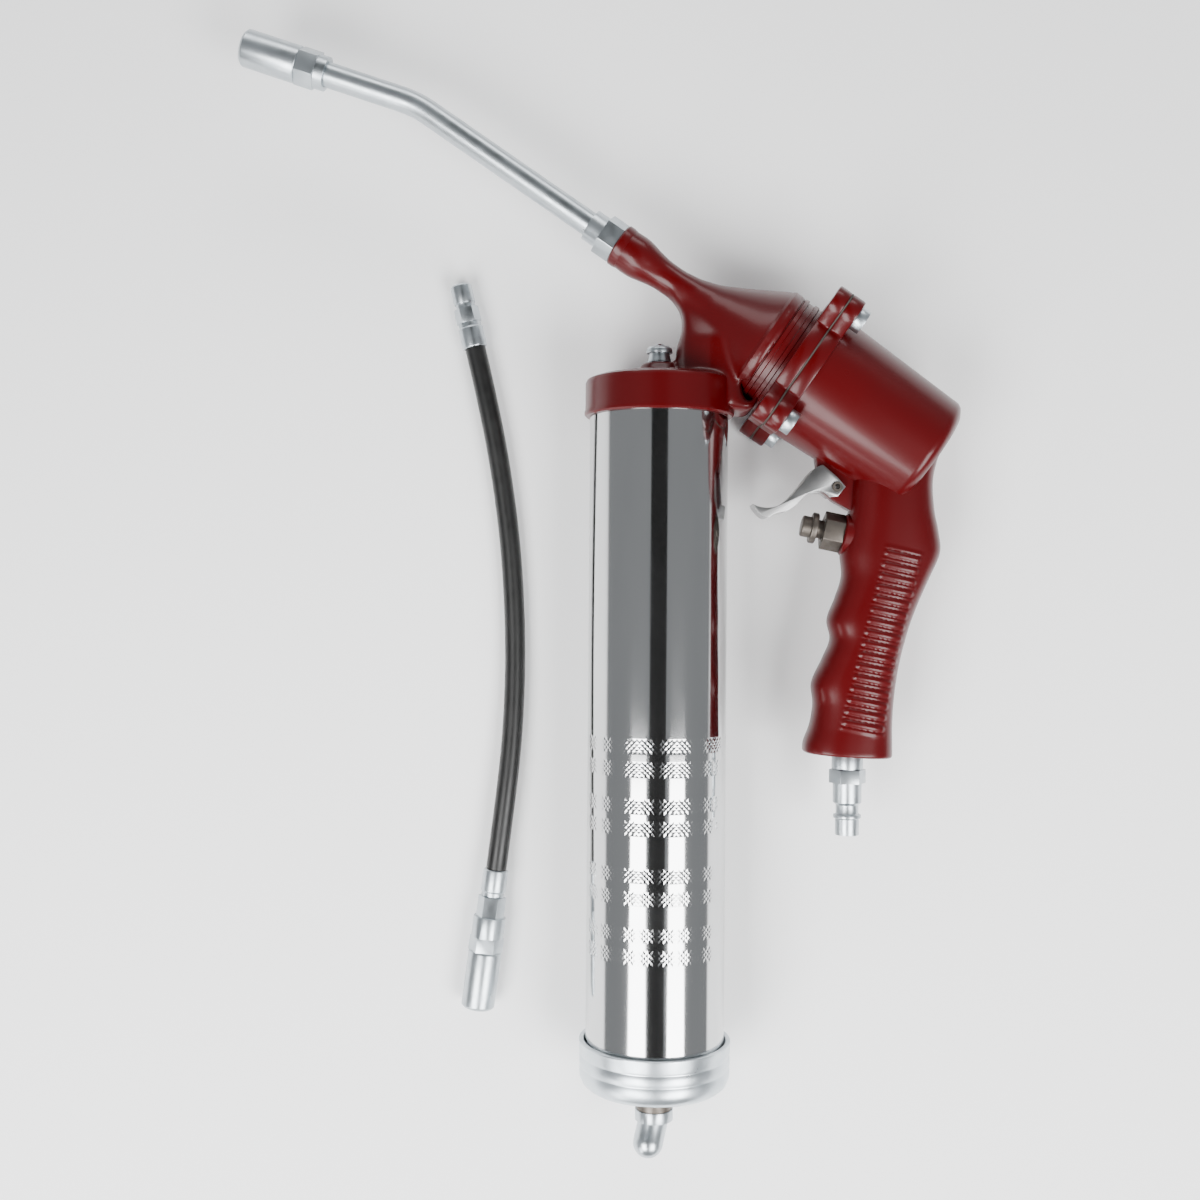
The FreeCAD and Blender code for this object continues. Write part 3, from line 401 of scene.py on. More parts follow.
def turned(name: str, stations: Sequence[tuple[float, float]], line: Line,
           around: int = 96) -> bpy.types.Object:
    """A solid of revolution, drawn out ring by ring from a disc.

    Args:
        name: the object's name.
        stations: places along the line with the radius there, in millimetres.
        line: the line that the piece is turned about.
        around: corners round it.

    Returns:
        The closed solid, with its place in its mesh.
    """
    deselect()
    start, radius = stations[0]
    bpy.ops.mesh.primitive_circle_add(vertices=around, radius=radius * MM, fill_type="NGON",
                                      location=(0, 0, start * MM))
    made = bpy.context.object
    made.name = name
    settle(made)
    bpy.ops.object.mode_set(mode="EDIT")
    bpy.ops.mesh.select_all(action="SELECT")
    for (low, before), (high, after) in zip(stations, stations[1:]):
        bpy.ops.mesh.extrude_region_move(
            TRANSFORM_OT_translate={"value": (0, 0, (high - low) * MM)})
        bpy.ops.transform.resize(value=(after / before, after / before, 1),
                                 center_override=(0, 0, high * MM))
    bpy.ops.object.mode_set(mode="OBJECT")
    made.matrix_world = line.matrix()
    settle(made)
    face_outwards(made)
    return made


def bar(start: float, end: float, radius: float, line: Line, across: float = 0.0,
        height: float = 0.0, around: int = 48) -> bpy.types.Object:
    """A round bar beside a line, to join or cut with; sizes in millimetres.

    Args:
        start: place along the line where it starts.
        end: place along the line where it ends.
        radius: its radius.
        line: the line that it runs along.
        across: how far it is moved aside in the mid-plane.
        height: how far it is moved out of the mid-plane.
        around: corners round it.

    Returns:
        The closed bar.
    """
    deselect()
    bpy.ops.mesh.primitive_cylinder_add(vertices=around, radius=radius * MM,
                                        depth=(end - start) * MM)
    made = bpy.context.object
    made.matrix_world = line.matrix() @ Matrix.Translation(
        Vector((across, height, (start + end) / 2)) * MM)
    return settle(made)


def link_bar(start: Vector, end: Vector, radius: float, around: int = 24) -> bpy.types.Object:
    """A round bar between two points in metres, its radius in millimetres."""
    reach = end - start
    deselect()
    bpy.ops.mesh.primitive_cylinder_add(vertices=around, radius=radius * MM, depth=reach.length)
    made = bpy.context.object
    made.matrix_world = (Matrix.Translation((start + end) / 2)
                         @ reach.to_track_quat("Z", "Y").to_matrix().to_4x4())
    return settle(made)


def prism(name: str, outline: Sequence[tuple[float, float]], half_width: float,
          round_mm: float) -> bpy.types.Object:
    """A plate across the gun's mid-plane with a side outline and rounded edges.

    Args:
        name: the object's name.
        outline: corners of the side view, in millimetres of the gun's own frame.
        half_width: half of its thickness, in millimetres.
        round_mm: radius of its edges.

    Returns:
        The closed plate.
    """
    deselect()
    bpy.ops.mesh.primitive_circle_add(vertices=len(outline), radius=1, fill_type="NGON")
    made = bpy.context.object
    made.name = name
    for vertex, (x, y) in zip(made.data.vertices, outline):
        vertex.co = gun_point(x, y, -half_width)
    bpy.ops.object.mode_set(mode="EDIT")
    bpy.ops.mesh.select_all(action="SELECT")
    bpy.ops.mesh.extrude_region_move(
        TRANSFORM_OT_translate={"value": (0, 0, 2 * half_width * MM)})
    bpy.ops.object.mode_set(mode="OBJECT")
    face_outwards(made)
    if round_mm:
        round_edges(made, round_mm)
    return made


def wrapped_sheet(name: str, across: int, rows: Sequence[float],
                  place: Callable[[int, int, float], Vector]) -> bpy.types.Object:
    """A sheet of squares wrapped into a tube, each point put where a rule says.

    Args:
        name: the object's name.
        across: squares round the tube.
        rows: heights of the rows, one each.
        place: rule from column, row and height to a point in metres.

    Returns:
        The tube, open at both ends, its faces outwards.
    """
    deselect()
    bpy.ops.mesh.primitive_grid_add(x_subdivisions=across, y_subdivisions=len(rows) - 1, size=1)
    made = bpy.context.object
    made.name = name
    columns = across + 1
    for index, vertex in enumerate(made.data.vertices):
        row, column = divmod(index, columns)
        vertex.co = place(column % across, row, rows[row])
    return made


def close_ends(piece: bpy.types.Object) -> None:
    """Merge a wrapped sheet's seam and close its two open ends with flat faces."""
    face_outwards(piece, FINE_MERGE)
    bpy.ops.object.mode_set(mode="EDIT")
    bpy.ops.mesh.select_all(action="DESELECT")
    bpy.ops.mesh.select_mode(type="EDGE")
    bpy.ops.mesh.select_non_manifold()
    bpy.ops.mesh.edge_face_add()
    bpy.ops.mesh.select_mode(type="VERT")
    bpy.ops.object.mode_set(mode="OBJECT")
    face_outwards(piece, FINE_MERGE)


def join(pieces: Sequence[bpy.types.Object]) -> bpy.types.Object:
    """Put several meshes into one object, without merging their shapes."""
    deselect()
    for piece in pieces:
        piece.select_set(True)
    bpy.context.view_layer.objects.active = pieces[0]
    bpy.ops.object.join()
    return pieces[0]


def combine(piece: bpy.types.Object, tools: Iterable[bpy.types.Object],
            operation: Solid) -> bpy.types.Object:
    """Join or cut a piece with each tool in turn, and remove the tools.

    Args:
        piece: the closed mesh that is changed.
        tools: closed meshes to join on or cut away.
        operation: whether they join or cut.

    Returns:
        The same piece.
    """
    for tool in tools:
        apply_modifier(piece, "BOOLEAN", operation=operation.value, object=tool, solver="MANIFOLD")
        bpy.data.objects.remove(tool)
    return piece


def cast_skin(piece: bpy.types.Object, grain_mm: float, rounds: int) -> bpy.types.Object:
    """Merge overlapping blanks into one skin and soften it, as a casting's fillets are.

    Args:
        piece: the joined blanks.
        grain_mm: size of the skin's squares.
        rounds: how many times each point moves to the mean of its neighbours.

    Returns:
        The same piece.
    """
    apply_modifier(piece, "REMESH", mode="VOXEL", voxel_size=grain_mm * MM, adaptivity=0.0)
    if rounds:
        apply_modifier(piece, "SMOOTH", factor=0.5, iterations=rounds)
    return piece


def finish_piece(piece: bpy.types.Object, body: Body, slot: str, *nodes: str) -> None:
    """Ride a finished piece on its body, in place of the CAD nodes it stands for.

    Args:
        piece: the finished piece.
        body: the body that carries it.
        slot: the name of its colour choice; not used.
        *nodes: the CAD nodes that it takes the place of.
    """
    deselect()
    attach(piece, body.value)
    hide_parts(*nodes)
    faces = sum(len(face.vertices) - 2 for face in piece.data.polygons) if (
        piece.type == "MESH") else 0
    log.info("%s: %d triangles", piece.name, faces)


# ---------------------------------------------------------------- red castings

@dataclass
class FlangePlate:
    """One half of the screwed joint: a round rim with four ears, in millimetres.

    Attributes:
        rim_radius: radius of the rim between the ears.
        ear_radius: radius of each ear round its screw.
        bolt_offset: how far each screw is off the axis, along both cross directions.
        edge: radius of the plate's corners.
    """

    rim_radius: float = 28.5
    ear_radius: float = 6.9
    bolt_offset: float = 24.4
    edge: float = 0.6

    def radius_at(self, off_ear: float) -> float:
        """The rim's radius at an angle from the middle of the nearest ear, in degrees."""
        reach = self.bolt_offset * math.sqrt(2)
        sine = abs(math.sin(math.radians(off_ear)))
        if reach * sine < self.ear_radius:
            return reach * math.cos(math.radians(off_ear)) + math.sqrt(
                self.ear_radius ** 2 - (reach * sine) ** 2)
        return max(self.rim_radius, self.ear_radius / sine)

    def build(self, name: str, start: float, end: float) -> bpy.types.Object:
        """The plate between two places on the pump's line, in millimetres."""
        angles = [ear + step for ear in (45, 135, 225, 315)
                  for step in (-14, -11.6, -11.3, -10, -8, -4, 0, 4, 8, 10, 11.3, 11.6, 14,
                               *range(17, 76, 3))]
        deselect()
        bpy.ops.mesh.primitive_circle_add(vertices=len(angles), radius=1, fill_type="NGON")
        made = bpy.context.object
        made.name = name
        for vertex, angle in zip(made.data.vertices, angles):
            off_ear = (angle % 90) - 45
            radius = self.radius_at(off_ear) * MM
            turn = math.radians(angle)
            vertex.co = (radius * math.cos(turn), radius * math.sin(turn), start * MM)
        bpy.ops.object.mode_set(mode="EDIT")
        bpy.ops.mesh.select_all(action="SELECT")
        bpy.ops.mesh.extrude_region_move(
            TRANSFORM_OT_translate={"value": (0, 0, (end - start) * MM)})
        bpy.ops.object.mode_set(mode="OBJECT")
        made.matrix_world = PUMP.matrix()
        settle(made)
        face_outwards(made)
        round_edges(made, self.edge, 60)
        return made

    def at_screws(self, start: float, end: float, radius: float) -> list[bpy.types.Object]:
        """A bar at each of the four screws."""
        return [bar(start, end, radius, PUMP, self.bolt_offset * x, self.bolt_offset * y)
                for x in (-1, 1) for y in (-1, 1)]


@dataclass
class HeadCasting:
    """The red head: outlet neck, pump cone, web, barrel cap and its half of the flange.

    Profiles are pairs of a place along the piece's line and the radius there; outlines are side
    views in the gun's frame. All are in millimetres.

    Attributes:
        flange: its half of the screwed joint.
        skin_grain: size of the squares that the soft skin is drawn with.
        soft_rounds: how many times that skin is softened.
        neck: profile of the outlet neck and the cone behind it.
        collar: profile of the rings turned round the cone's wide end.
        mouth: profile of the bead round the outlet.
        cap_blank: profile of the cap over the barrel.
        skirt: profile of the cap's machined rim.
        web_outline: outline of the web between neck and cap.
        web_half_width: half of the web's greatest thickness.
        web_edge: thickness of the web's open edge, as a share of its greatest.
        web_grain: size of the squares that the web is thinned with.
        web_taper: where the web starts to thicken across, and over what distance.
        web_top_taper: the height below which it thickens, and over what distance.
        pocket_outline: outline of the hollow cast into each side of the web.
    """

    flange: FlangePlate = field(default_factory=FlangePlate)
    skin_grain: float = 0.75
    soft_rounds: int = 40
    neck: tuple[tuple[float, float], ...] = (
        (-20.6, 8.6), (-12, 8.95), (-9, 8.6), (-4, 7.4), (1, 6.6), (8, 6.5), (16, 7.6),
        (24, 10.2), (32, 14.2), (40, 18.6), (47, 22.6), (51.5, 24.9), (56, 24.9))
    collar: tuple[tuple[float, float], ...] = (
        (50, 20), (50.1, 24.2), (51.2, 24.95), (53, 24.7), (53.4, 24.1), (55.6, 24.0),
        (56.0, 24.8), (57.6, 24.8), (58.0, 24.0), (60.2, 24.0), (60.6, 24.8), (62.2, 24.8),
        (62.6, 24.2), (65, 24.2))
    mouth: tuple[tuple[float, float], ...] = (
        (-21, 7.0), (-21, 8.4), (-20.4, 8.95), (-18.5, 8.95), (-17, 8.7), (-17, 7.0))
    cap_blank: tuple[tuple[float, float], ...] = (
        (2, 20), (2, 30.2), (12.6, 30.2), (14.2, 29.2), (15.4, 26), (16, 20), (16.4, 10.5),
        (18, 8), (21.2, 6.8), (21.4, 3))
    skirt: tuple[tuple[float, float], ...] = (
        (-1, 28), (-1, 30.1), (-0.4, 30.75), (0.8, 30.8), (1.6, 30.45), (12.4, 30.4),
        (13.8, 29.8), (14.4, 28.4), (14.4, 24))
    web_outline: tuple[tuple[float, float], ...] = (
        (2.5, 50.5), (6.2, 46.2), (8.5, 42.5), (9.4, 38.5), (8.9, 33), (7.2, 28.6), (6.6, 24),
        (7.4, 18), (10.5, 12), (27, 1.5), (36, -0.2), (38.4, 2.4), (47.4, 23), (30, 40), (12, 50))
    web_half_width: float = 14.0
    web_edge: float = 0.42
    web_grain: float = 1.2
    web_taper: tuple[float, float] = (8.0, 12.0)
    web_top_taper: tuple[float, float] = (46.0, 16.0)
    pocket_outline: tuple[tuple[float, float], ...] = (
        (31.9, 15.5), (33.0, 9), (34.4, 4.2), (37.6, 4.6), (40.5, 12), (36, 17))

    def blanks(self) -> bpy.types.Object:
        """The overlapping blanks that the casting's soft skin is drawn over."""
        neck = turned("neck_blank", self.neck, PUMP)
        cap = turned("cap_blank", self.cap_blank, BARREL)
        web = self.tapered_web()
        boss = bar(14, 21.2, 8.2, BARREL, around=64)
        return join([neck, cap, web, boss])

    def tapered_web(self) -> bpy.types.Object:
        """The web's blank, drawn thinner towards its open edge and the neck."""
        web = prism("web_blank", self.web_outline, self.web_half_width, 4.0)
        apply_modifier(web, "REMESH", mode="VOXEL", voxel_size=self.web_grain * MM, adaptivity=0.0)
        (edge, depth), (top, drop) = self.web_taper, self.web_top_taper
        for vertex in web.data.vertices:
            x, y, z = (vertex.co - HEAD_RIM) / MM
            inward = min(1.0, max(0.0, (x - edge) / depth))
            below_neck = min(1.0, max(0.0, (top - y) / drop))
            share = math.sqrt(inward) * below_neck
            thickness = self.web_edge + (1 - self.web_edge) * share
            vertex.co.z = HEAD_RIM.z + z * thickness * MM
        return web

    def pockets(self) -> list[bpy.types.Object]:
        """The hollows cast into both sides of the web beside the barrel cap."""
        pair = []
        for side in (-1, 1):
            pocket = prism("web_pocket", self.pocket_outline, 4.5, 1.0)
            pocket.location.z = side * 10.5 * MM
            pair.append(settle(pocket))
        return pair

    def bores(self) -> list[bpy.types.Object]:
        """The holes for the outlet, plunger, gland, spring, screws, barrel and bleeder."""
        seal_top, through = 11, 22.5
        return [
            bar(-22, -14.2, 5.53, PUMP), bar(-14.3, -6, 4.6, PUMP), bar(-6.1, 39, 3.55, PUMP),
            bar(38, 48, 8.03, PUMP), bar(46.5, 71, 18.5, PUMP, around=96),
            *self.flange.at_screws(63, 71, 3.03),
            bar(-2, seal_top, 28.55, BARREL, around=128), bar(seal_top - 1, through, 3.03, BARREL),
            bar(seal_top - 1, 46, 3.0, BARREL, across=-15),
        ]

    def build(self) -> bpy.types.Object:
        """Make the casting and put it in place of its CAD node."""
        head = self.blanks()
        head.name = "red_head"
        cast_skin(head, self.skin_grain, 0)
        combine(head, self.pockets(), Solid.CUT)
        cast_skin(head, self.skin_grain, self.soft_rounds)
        crisp = [turned("collar_rings", self.collar, PUMP), turned("neck_mouth", self.mouth, PUMP),
                 turned("cap_skirt", self.skirt, BARREL, 128),
                 self.flange.build("head_flange", 64, 69.75)]
        combine(head, crisp, Solid.JOIN)
        combine(head, self.bores(), Solid.CUT)
        smooth(head, 40)
        dress(head, RED_ENAMEL)
        finish_piece(head, Body.GUN, "red_enamel", "head_casting")
        return head


@dataclass
class GripSide:
    """The raised bars on each side of the grip, in millimetres of the gun's frame.

    Attributes:
        count: how many bars there are.
        first: left end, right end and height of the top bar.
        last: the same for the bottom bar.
        drop: how much lower a bar's right end is.
        height: how far a bar stands out.
        groove: how deep the ditch round the bars is.
        rim: how far past the bars' ends the ditch runs.
        reach: how far from a bar's middle the ditch runs, in bar spacings.
    """

    count: int = 16
    first: tuple[float, float, float] = (91.4, 106.2, -56.5)
    last: tuple[float, float, float] = (74.7, 92.0, -125.0)
    drop: float = 3.2
    height: float = 0.75
    groove: float = 0.35
    rim: float = 1.2
    reach: float = 0.8

    def relief(self, x: float, y: float) -> float:
        """How far the side stands proud at a place on it.

        Args:
            x: millimetres from the barrel axis towards the grip.
            y: millimetres up the barrel from the lower rim of the head.

        Returns:
            Millimetres outwards, negative in the ditch.
        """
        share = (self.first[2] - y) / (self.first[2] - self.last[2])
        left = self.first[0] + (self.last[0] - self.first[0]) * share
        right = self.first[1] + (self.last[1] - self.first[1]) * share
        lean = self.drop * (x - left) / (right - left)
        place = (self.first[2] - lean - y) / (self.first[2] - self.last[2]) * (self.count - 1)
        nearest = min(max(round(place), 0), self.count - 1)
        off = abs(place - nearest)
        end = min(x - left, right - x)
        if end < -self.rim or off > self.reach:
            return 0.0
        fade = min(1.0, (end + self.rim) / 1.4)
        across = math.cos(math.pi * min(off, 0.5)) ** 1.5
        ends = 1.0 if end > 0.6 else max(0.0, (end + 1.0) / 1.6)
        ditch = self.groove * fade * min(1.0, max(0.0, (self.reach - off) / 0.3))
        return (self.height + self.groove) * across * ends - ditch


@dataclass
class GripCasting:
    """The red air cylinder, cast in one with the pistol grip and the trigger bracket.

    Attributes:
        flange: its half of the screwed joint.
        side: the bars on the grip's sides.
        squareness: power of the grip's section; 2 is an ellipse, more is squarer.
        foot_round: radius round the grip's foot, in millimetres.
        foot_tilt: slope of the grip's rows against the barrel's cross direction.
        across: points round the grip.
        slices: height, front edge, back edge and half width of the grip, in millimetres.
        cylinder: profile of the air cylinder along the pump's line, in millimetres.
        bracket: side view of the trigger's bracket, in millimetres.
    """

    flange: FlangePlate = field(default_factory=FlangePlate)
    side: GripSide = field(default_factory=GripSide)
    squareness: float = 2.5
    foot_round: float = 1.3
    foot_tilt: float = 0.055
    across: int = 180
    slices: tuple[tuple[float, float, float, float], ...] = (
        (-10, 80.5, 117.0, 13.0), (-25, 79.6, 112.9, 13.2), (-38, 78.6, 113.3, 13.4),
        (-47, 77.0, 115.1, 13.5), (-56, 75.2, 115.9, 13.5), (-66, 75.8, 111.8, 13.4),
        (-75, 73.2, 107.8, 13.4), (-84, 70.0, 104.3, 13.4), (-92, 71.3, 101.8, 13.4),
        (-100, 68.2, 99.8, 13.4), (-110, 63.8, 98.1, 13.4), (-119, 64.4, 97.1, 13.6),
        (-128, 63.0, 96.7, 14.0), (-135, 60.6, 96.8, 14.5), (-139.6, 60.2, 96.8, 14.8))
    cylinder: tuple[tuple[float, float], ...] = (
        (72, 27.3), (78, 27.3), (129.6, 25.2), (130.8, 25.2), (132.5, 24.4), (133.6, 22.9),
        (134.5, 21.5))
    bracket: tuple[tuple[float, float], ...] = (
        (64.2, -14), (64.8, -21), (66.9, -30.8), (71.2, -34.9), (82, -41), (86, -24))

    def slice_at(self, height: float) -> tuple[float, float, float]:
        """Front edge, back edge and half width at a height, on smooth curves.

        Args:
            height: millimetres up the barrel from the lower rim of the head.

        Returns:
            The three sizes in millimetres.
        """
        table = self.slices
        span = max(i for i in range(len(table) - 1) if table[i][0] >= height or i == 0)
        four = [table[min(max(span + k, 0), len(table) - 1)] for k in (-1, 0, 1, 2)]
        share = (height - four[1][0]) / (four[2][0] - four[1][0])
        reach = four[2][0] - four[1][0]
        values = []
        for column in (1, 2, 3):
            before, here, there, after = (row[column] for row in four)
            slope_here = (there - before) / ((four[2][0] - four[0][0]) or 1) * reach
            slope_there = (after - here) / ((four[3][0] - four[1][0]) or 1) * reach
            values.append(
                (2 * share ** 3 - 3 * share ** 2 + 1) * here
                + (share ** 3 - 2 * share ** 2 + share) * slope_here
                + (3 * share ** 2 - 2 * share ** 3) * there
                + (share ** 3 - share ** 2) * slope_there)
        return values[0], values[1], values[2]

    def surface(self, column: int, row: int, height: float) -> Vector:
        """The grip's surface at a column and height.

        Args:
            column: which point round the grip.
            row: which row, unused because the height says enough.
            height: the row's height in millimetres.

        Returns:
            The point in metres.
        """
        front, back, half_width = self.slice_at(height)
        foot = self.slices[-1][0]
        inset = 0.0
        if height - foot < self.foot_round:
            gone = self.foot_round - (height - foot)
            inset = self.foot_round - math.sqrt(max(0.0, self.foot_round ** 2 - gone ** 2))
        turn = -2 * math.pi * column / self.across
        power = 2 / self.squareness
        run = math.copysign(abs(math.cos(turn)) ** power, math.cos(turn))
        rise = math.copysign(abs(math.sin(turn)) ** power, math.sin(turn))
        middle_x, half_depth = (front + back) / 2, (back - front) / 2 - inset
        x = middle_x + half_depth * run
        z = (half_width - inset) * rise
        low = min(1.0, max(0.0, (height - foot) / 20))
        y = height - self.foot_tilt * (x - 78.8) * (1 - low)
        if abs(rise) > 0.45:
            z += math.copysign(self.side.relief(x, y), rise)
        return gun_point(x, y, z)

    def rows(self) -> list[float]:
        """Heights of the grip's rows, close together where the bars are."""
        top, bars_top, bars_foot, foot = self.slices[0][0], -52.0, -131.0, self.slices[-1][0]
        rows = [top + (bars_top - top) * i / 28 for i in range(28)]
        fine = 180
        rows += [bars_top + (bars_foot - bars_top) * i / fine for i in range(fine)]
        rows += [bars_foot + (foot + self.foot_round - bars_foot) * i / 6 for i in range(6)]
        rows += [foot + self.foot_round * (1 - math.sin(math.pi / 2 * i / 5)) for i in range(6)]
        return rows

    def bores(self) -> list[bpy.types.Object]:
        """The cylinder's bore and the holes for screws, valve, inlet, pin and air."""
        elbow, room = gun_point(88, -51), PUMP.point(126, -21.5)
        return [
            *self.flange.at_screws(69.5, 77, 3.3),
            bar(69.5, 129, 22.5, PUMP, around=96), bar(16.2, 29.3, 6.03, VALVE),
            bar(-11.3, 1, 5.63, INLET), bar(-8, 8, 2.03, Line(72.7, -29.6, None)),
            link_bar(INLET.point(-10), elbow, 2.5), link_bar(elbow, room, 2.5),
        ]

    def build(self) -> bpy.types.Object:
        """Make the casting and put it in place of its CAD node."""
        grip = wrapped_sheet("red_grip", self.across, self.rows(), self.surface)
        close_ends(grip)
        parts = [turned("air_cylinder", self.cylinder, PUMP, 128),
                 self.flange.build("grip_flange", 70.25, 76),
                 prism("trigger_bracket", self.bracket, 4.0, 0.8),
                 turned("valve_boss", ((17.2, 8.0), (17.8, 8.7), (30, 8.7), (33, 7)), VALVE, 64)]
        combine(grip, parts, Solid.JOIN)
        combine(grip, self.bores(), Solid.CUT)
        smooth(grip, 38)
        dress(grip, RED_ENAMEL)
        finish_piece(grip, Body.GUN, "red_enamel", "grip_casting")
        return grip


# ---------------------------------------------------------------- barrel

@dataclass
class Barrel:
    """The chromed tube with its bands of pressed diamond knurl, in millimetres.

    The knurl's diamonds are 2 mm across, drawn coarser than pressed ones so that they show.

    Attributes:
        radius: outer radius.
        wall: thickness of its wall.
        top: its upper end, from the lower rim of the head.
        foot: its lower end, from the same rim.
        around: points round it.
        knurl_depth: how deep the knurl is pressed.
        bands: start and end of each knurled band, down from the rim.
    """

    radius: float = 28.5
    wall: float = 1.2
    top: float = BARREL_ABOVE_RIM
    foot: float = -272.9
    around: int = 180
    knurl_depth: float = 0.075
    bands: tuple[tuple[float, float], ...] = (
        (131.1, 137.4), (140.1, 146.6), (154.7, 161.0), (163.5, 169.7),
        (182.3, 188.2), (191.3, 197.2), (205.7, 211.6), (214.2, 220.6))

    def rows(self) -> tuple[list[float], set[int]]:
        """Heights of the rows from the foot up, and which of them carry knurl."""
        step = math.pi * self.radius / self.around * 2
        heights, knurled = [self.foot, self.foot + 0.4], set()
        for start, end in reversed(self.bands):
            low, high = -end, -start
            plain = max(2, round((low - heights[-1]) / 6))
            base = heights[-1]
            heights += [base + (low - base) * i / plain for i in range(1, plain + 1)]
            count = round((high - low) / step)
            for i in range(1, count + 1):
                knurled.add(len(heights))
                heights.append(low + (high - low) * i / count)
            knurled.discard(len(heights) - 1)
        base = heights[-1]
        heights += [base + (self.top - 0.4 - base) * i / 20 for i in range(1, 21)]
        heights.append(self.top)
        return heights, knurled

    def build(self) -> bpy.types.Object:
        """Roll the tube, press its knurl and give it its wall."""
        heights, knurled = self.rows()

        def place(column: int, row: int, height: float) -> Vector:
            """A point of the tube's outside; every other point of the knurl is pressed in."""
            pressed = self.knurl_depth if row in knurled and (column + row) % 2 else 0.0
            turn = 2 * math.pi * column / self.around
            radius = self.radius - pressed
            return gun_point(radius * math.cos(turn), height, -radius * math.sin(turn))

        tube = wrapped_sheet("chromed_barrel", self.around, heights, place)
        face_outwards(tube, FINE_MERGE)
        self.turn_out(tube)
        self.crease_knurl(tube)
        apply_modifier(tube, "SOLIDIFY", thickness=self.wall * MM, offset=-1.0)
        smooth(tube, 3)
        dress(tube, BARREL_CHROME)
        finish_piece(tube, Body.BARREL, "barrel_chrome", "barrel_tube")
        return tube

    def crease_knurl(self, tube: bpy.types.Object) -> None:
        """Fold the knurl's squares along their raised corners, so each pit is a diamond."""
        choose(tube)
        for face in tube.data.polygons:
            height = (face.center.y - HEAD_RIM.y) / MM
            face.select = any(-end < height < -start for start, end in self.bands)
        bpy.ops.object.mode_set(mode="EDIT")
        bpy.ops.mesh.select_mode(type="FACE")
        bpy.ops.mesh.quads_convert_to_tris(quad_method="LONGEST_DIAGONAL")
        bpy.ops.mesh.select_mode(type="VERT")
        bpy.ops.object.mode_set(mode="OBJECT")

    def turn_out(self, tube: bpy.types.Object) -> None:
        """Turn the open tube's faces outwards, if they were drawn facing its axis."""
        face = tube.data.polygons[0]
        out = face.center - gun_point(0, 0)
        if face.normal.dot(Vector((out.x, 0, out.z))) < 0:
            choose(tube)
            bpy.ops.object.mode_set(mode="EDIT")
            bpy.ops.mesh.select_all(action="SELECT")
            bpy.ops.mesh.flip_normals()
            bpy.ops.object.mode_set(mode="OBJECT")


# ---------------------------------------------------------------- fittings and springs

@dataclass(frozen=True)
class Fitting:
    """A turned or pressed fitting whose corners are rounded in the metal.

    Attributes:
        node: the CAD node that it stands for.
        body: the body that it rides on.
        slot: the record's material slot.
        finish: its finish.
        edge: radius of its corners in millimetres.
    """

    node: str
    body: Body
    slot: str
    finish: Finish
    edge: float = 0.3

    def build(self) -> bpy.types.Object:
        """Round the fitting's corners and put it in place of its CAD node."""
        piece = merged_copy(self.node, f"{self.node}_finished")
        round_edges(piece, self.edge)
        smooth(piece, 32)
        dress(piece, self.finish)
        finish_piece(piece, self.body, self.slot, self.node)
        return piece


FITTINGS = (
    Fitting("outlet_adapter", Body.GUN, "zinc_plate", ZINC, 0.35),
    Fitting("bleeder_body", Body.GUN, "zinc_plate", ZINC, 0.3),
    Fitting("flange_screws", Body.GUN, "zinc_plate", ZINC, 0.35),
    Fitting("inlet_bushing", Body.GUN, "zinc_plate", ZINC, 0.35),
    Fitting("inlet_plug", Body.GUN, "zinc_plate", ZINC, 0.3),
    Fitting("nozzle_body", Body.GUN, "zinc_plate", ZINC, 0.4),
    Fitting("nozzle_sleeve", Body.GUN, "zinc_plate", ZINC, 0.4),
    Fitting("barrel_end_cap", Body.BARREL, "zinc_plate", ZINC_CAP, 0.5),
    Fitting("rod_handle", Body.ROD, "zinc_plate", ZINC, 0.5),
    Fitting("trigger", Body.TRIGGER, "trigger_chrome", SATIN_CHROME, 0.6),
    Fitting("air_valve_body", Body.GUN, "dark_steel", PHOSPHATE, 0.4),
    Fitting("valve_button", Body.BUTTON, "dark_steel", PHOSPHATE, 0.4),
    Fitting("hose_nipple_ferrule", Body.HOSE, "zinc_plate", ZINC, 0.35),
    Fitting("hose_nipple", Body.HOSE, "zinc_plate", ZINC, 0.3),
    Fitting("hose_coupler_ferrule", Body.HOSE, "zinc_plate", ZINC, 0.35),
    Fitting("hose_coupler_body", Body.HOSE, "zinc_plate", ZINC, 0.35),
    Fitting("hose_coupler_sleeve", Body.HOSE, "zinc_plate", ZINC, 0.4),
)


@dataclass(frozen=True)
class Spring:
    """A coil spring and the joint that presses it.

    Attributes:
        node: the CAD node that it stands for.
        body: the body that holds its fixed end.
        joint: the joint that presses it.
    """

    node: str
    body: Body
    joint: str

    def build(self) -> bpy.types.Object:
        """Copy the coil and smooth its wire."""
        piece = merged_copy(self.node, f"{self.node}_coil")
        smooth(piece, 40)
        dress(piece, SPRING_WIRE)
        finish_piece(piece, self.body, "spring_steel", self.node)
        travel = next(joint for joint in frame["record"]["behaviour"]["joints"]
                      if joint["name"] == self.joint)
        axis = Vector(travel["axis"]).normalized()
        places = sorted(axis.dot(vertex.co) for vertex in piece.data.vertices)
        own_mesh(piece)
        return piece


SPRINGS = (
    Spring("valve_spring", Body.GUN, "valve_press"),
    Spring("return_spring", Body.GUN, "pump_stroke"),
    Spring("check_spring", Body.GUN, "check_ball_lift"),
    Spring("bleeder_spring", Body.GUN, "bleeder_press"),
    Spring("nozzle_spring", Body.GUN, "nozzle_jaw_give"),
    Spring("follower_spring", Body.BARREL, "rod_pull"),
    Spring("hose_coupler_spring", Body.HOSE, "hose_jaw_give"),
)


# ---------------------------------------------------------------- spare hose

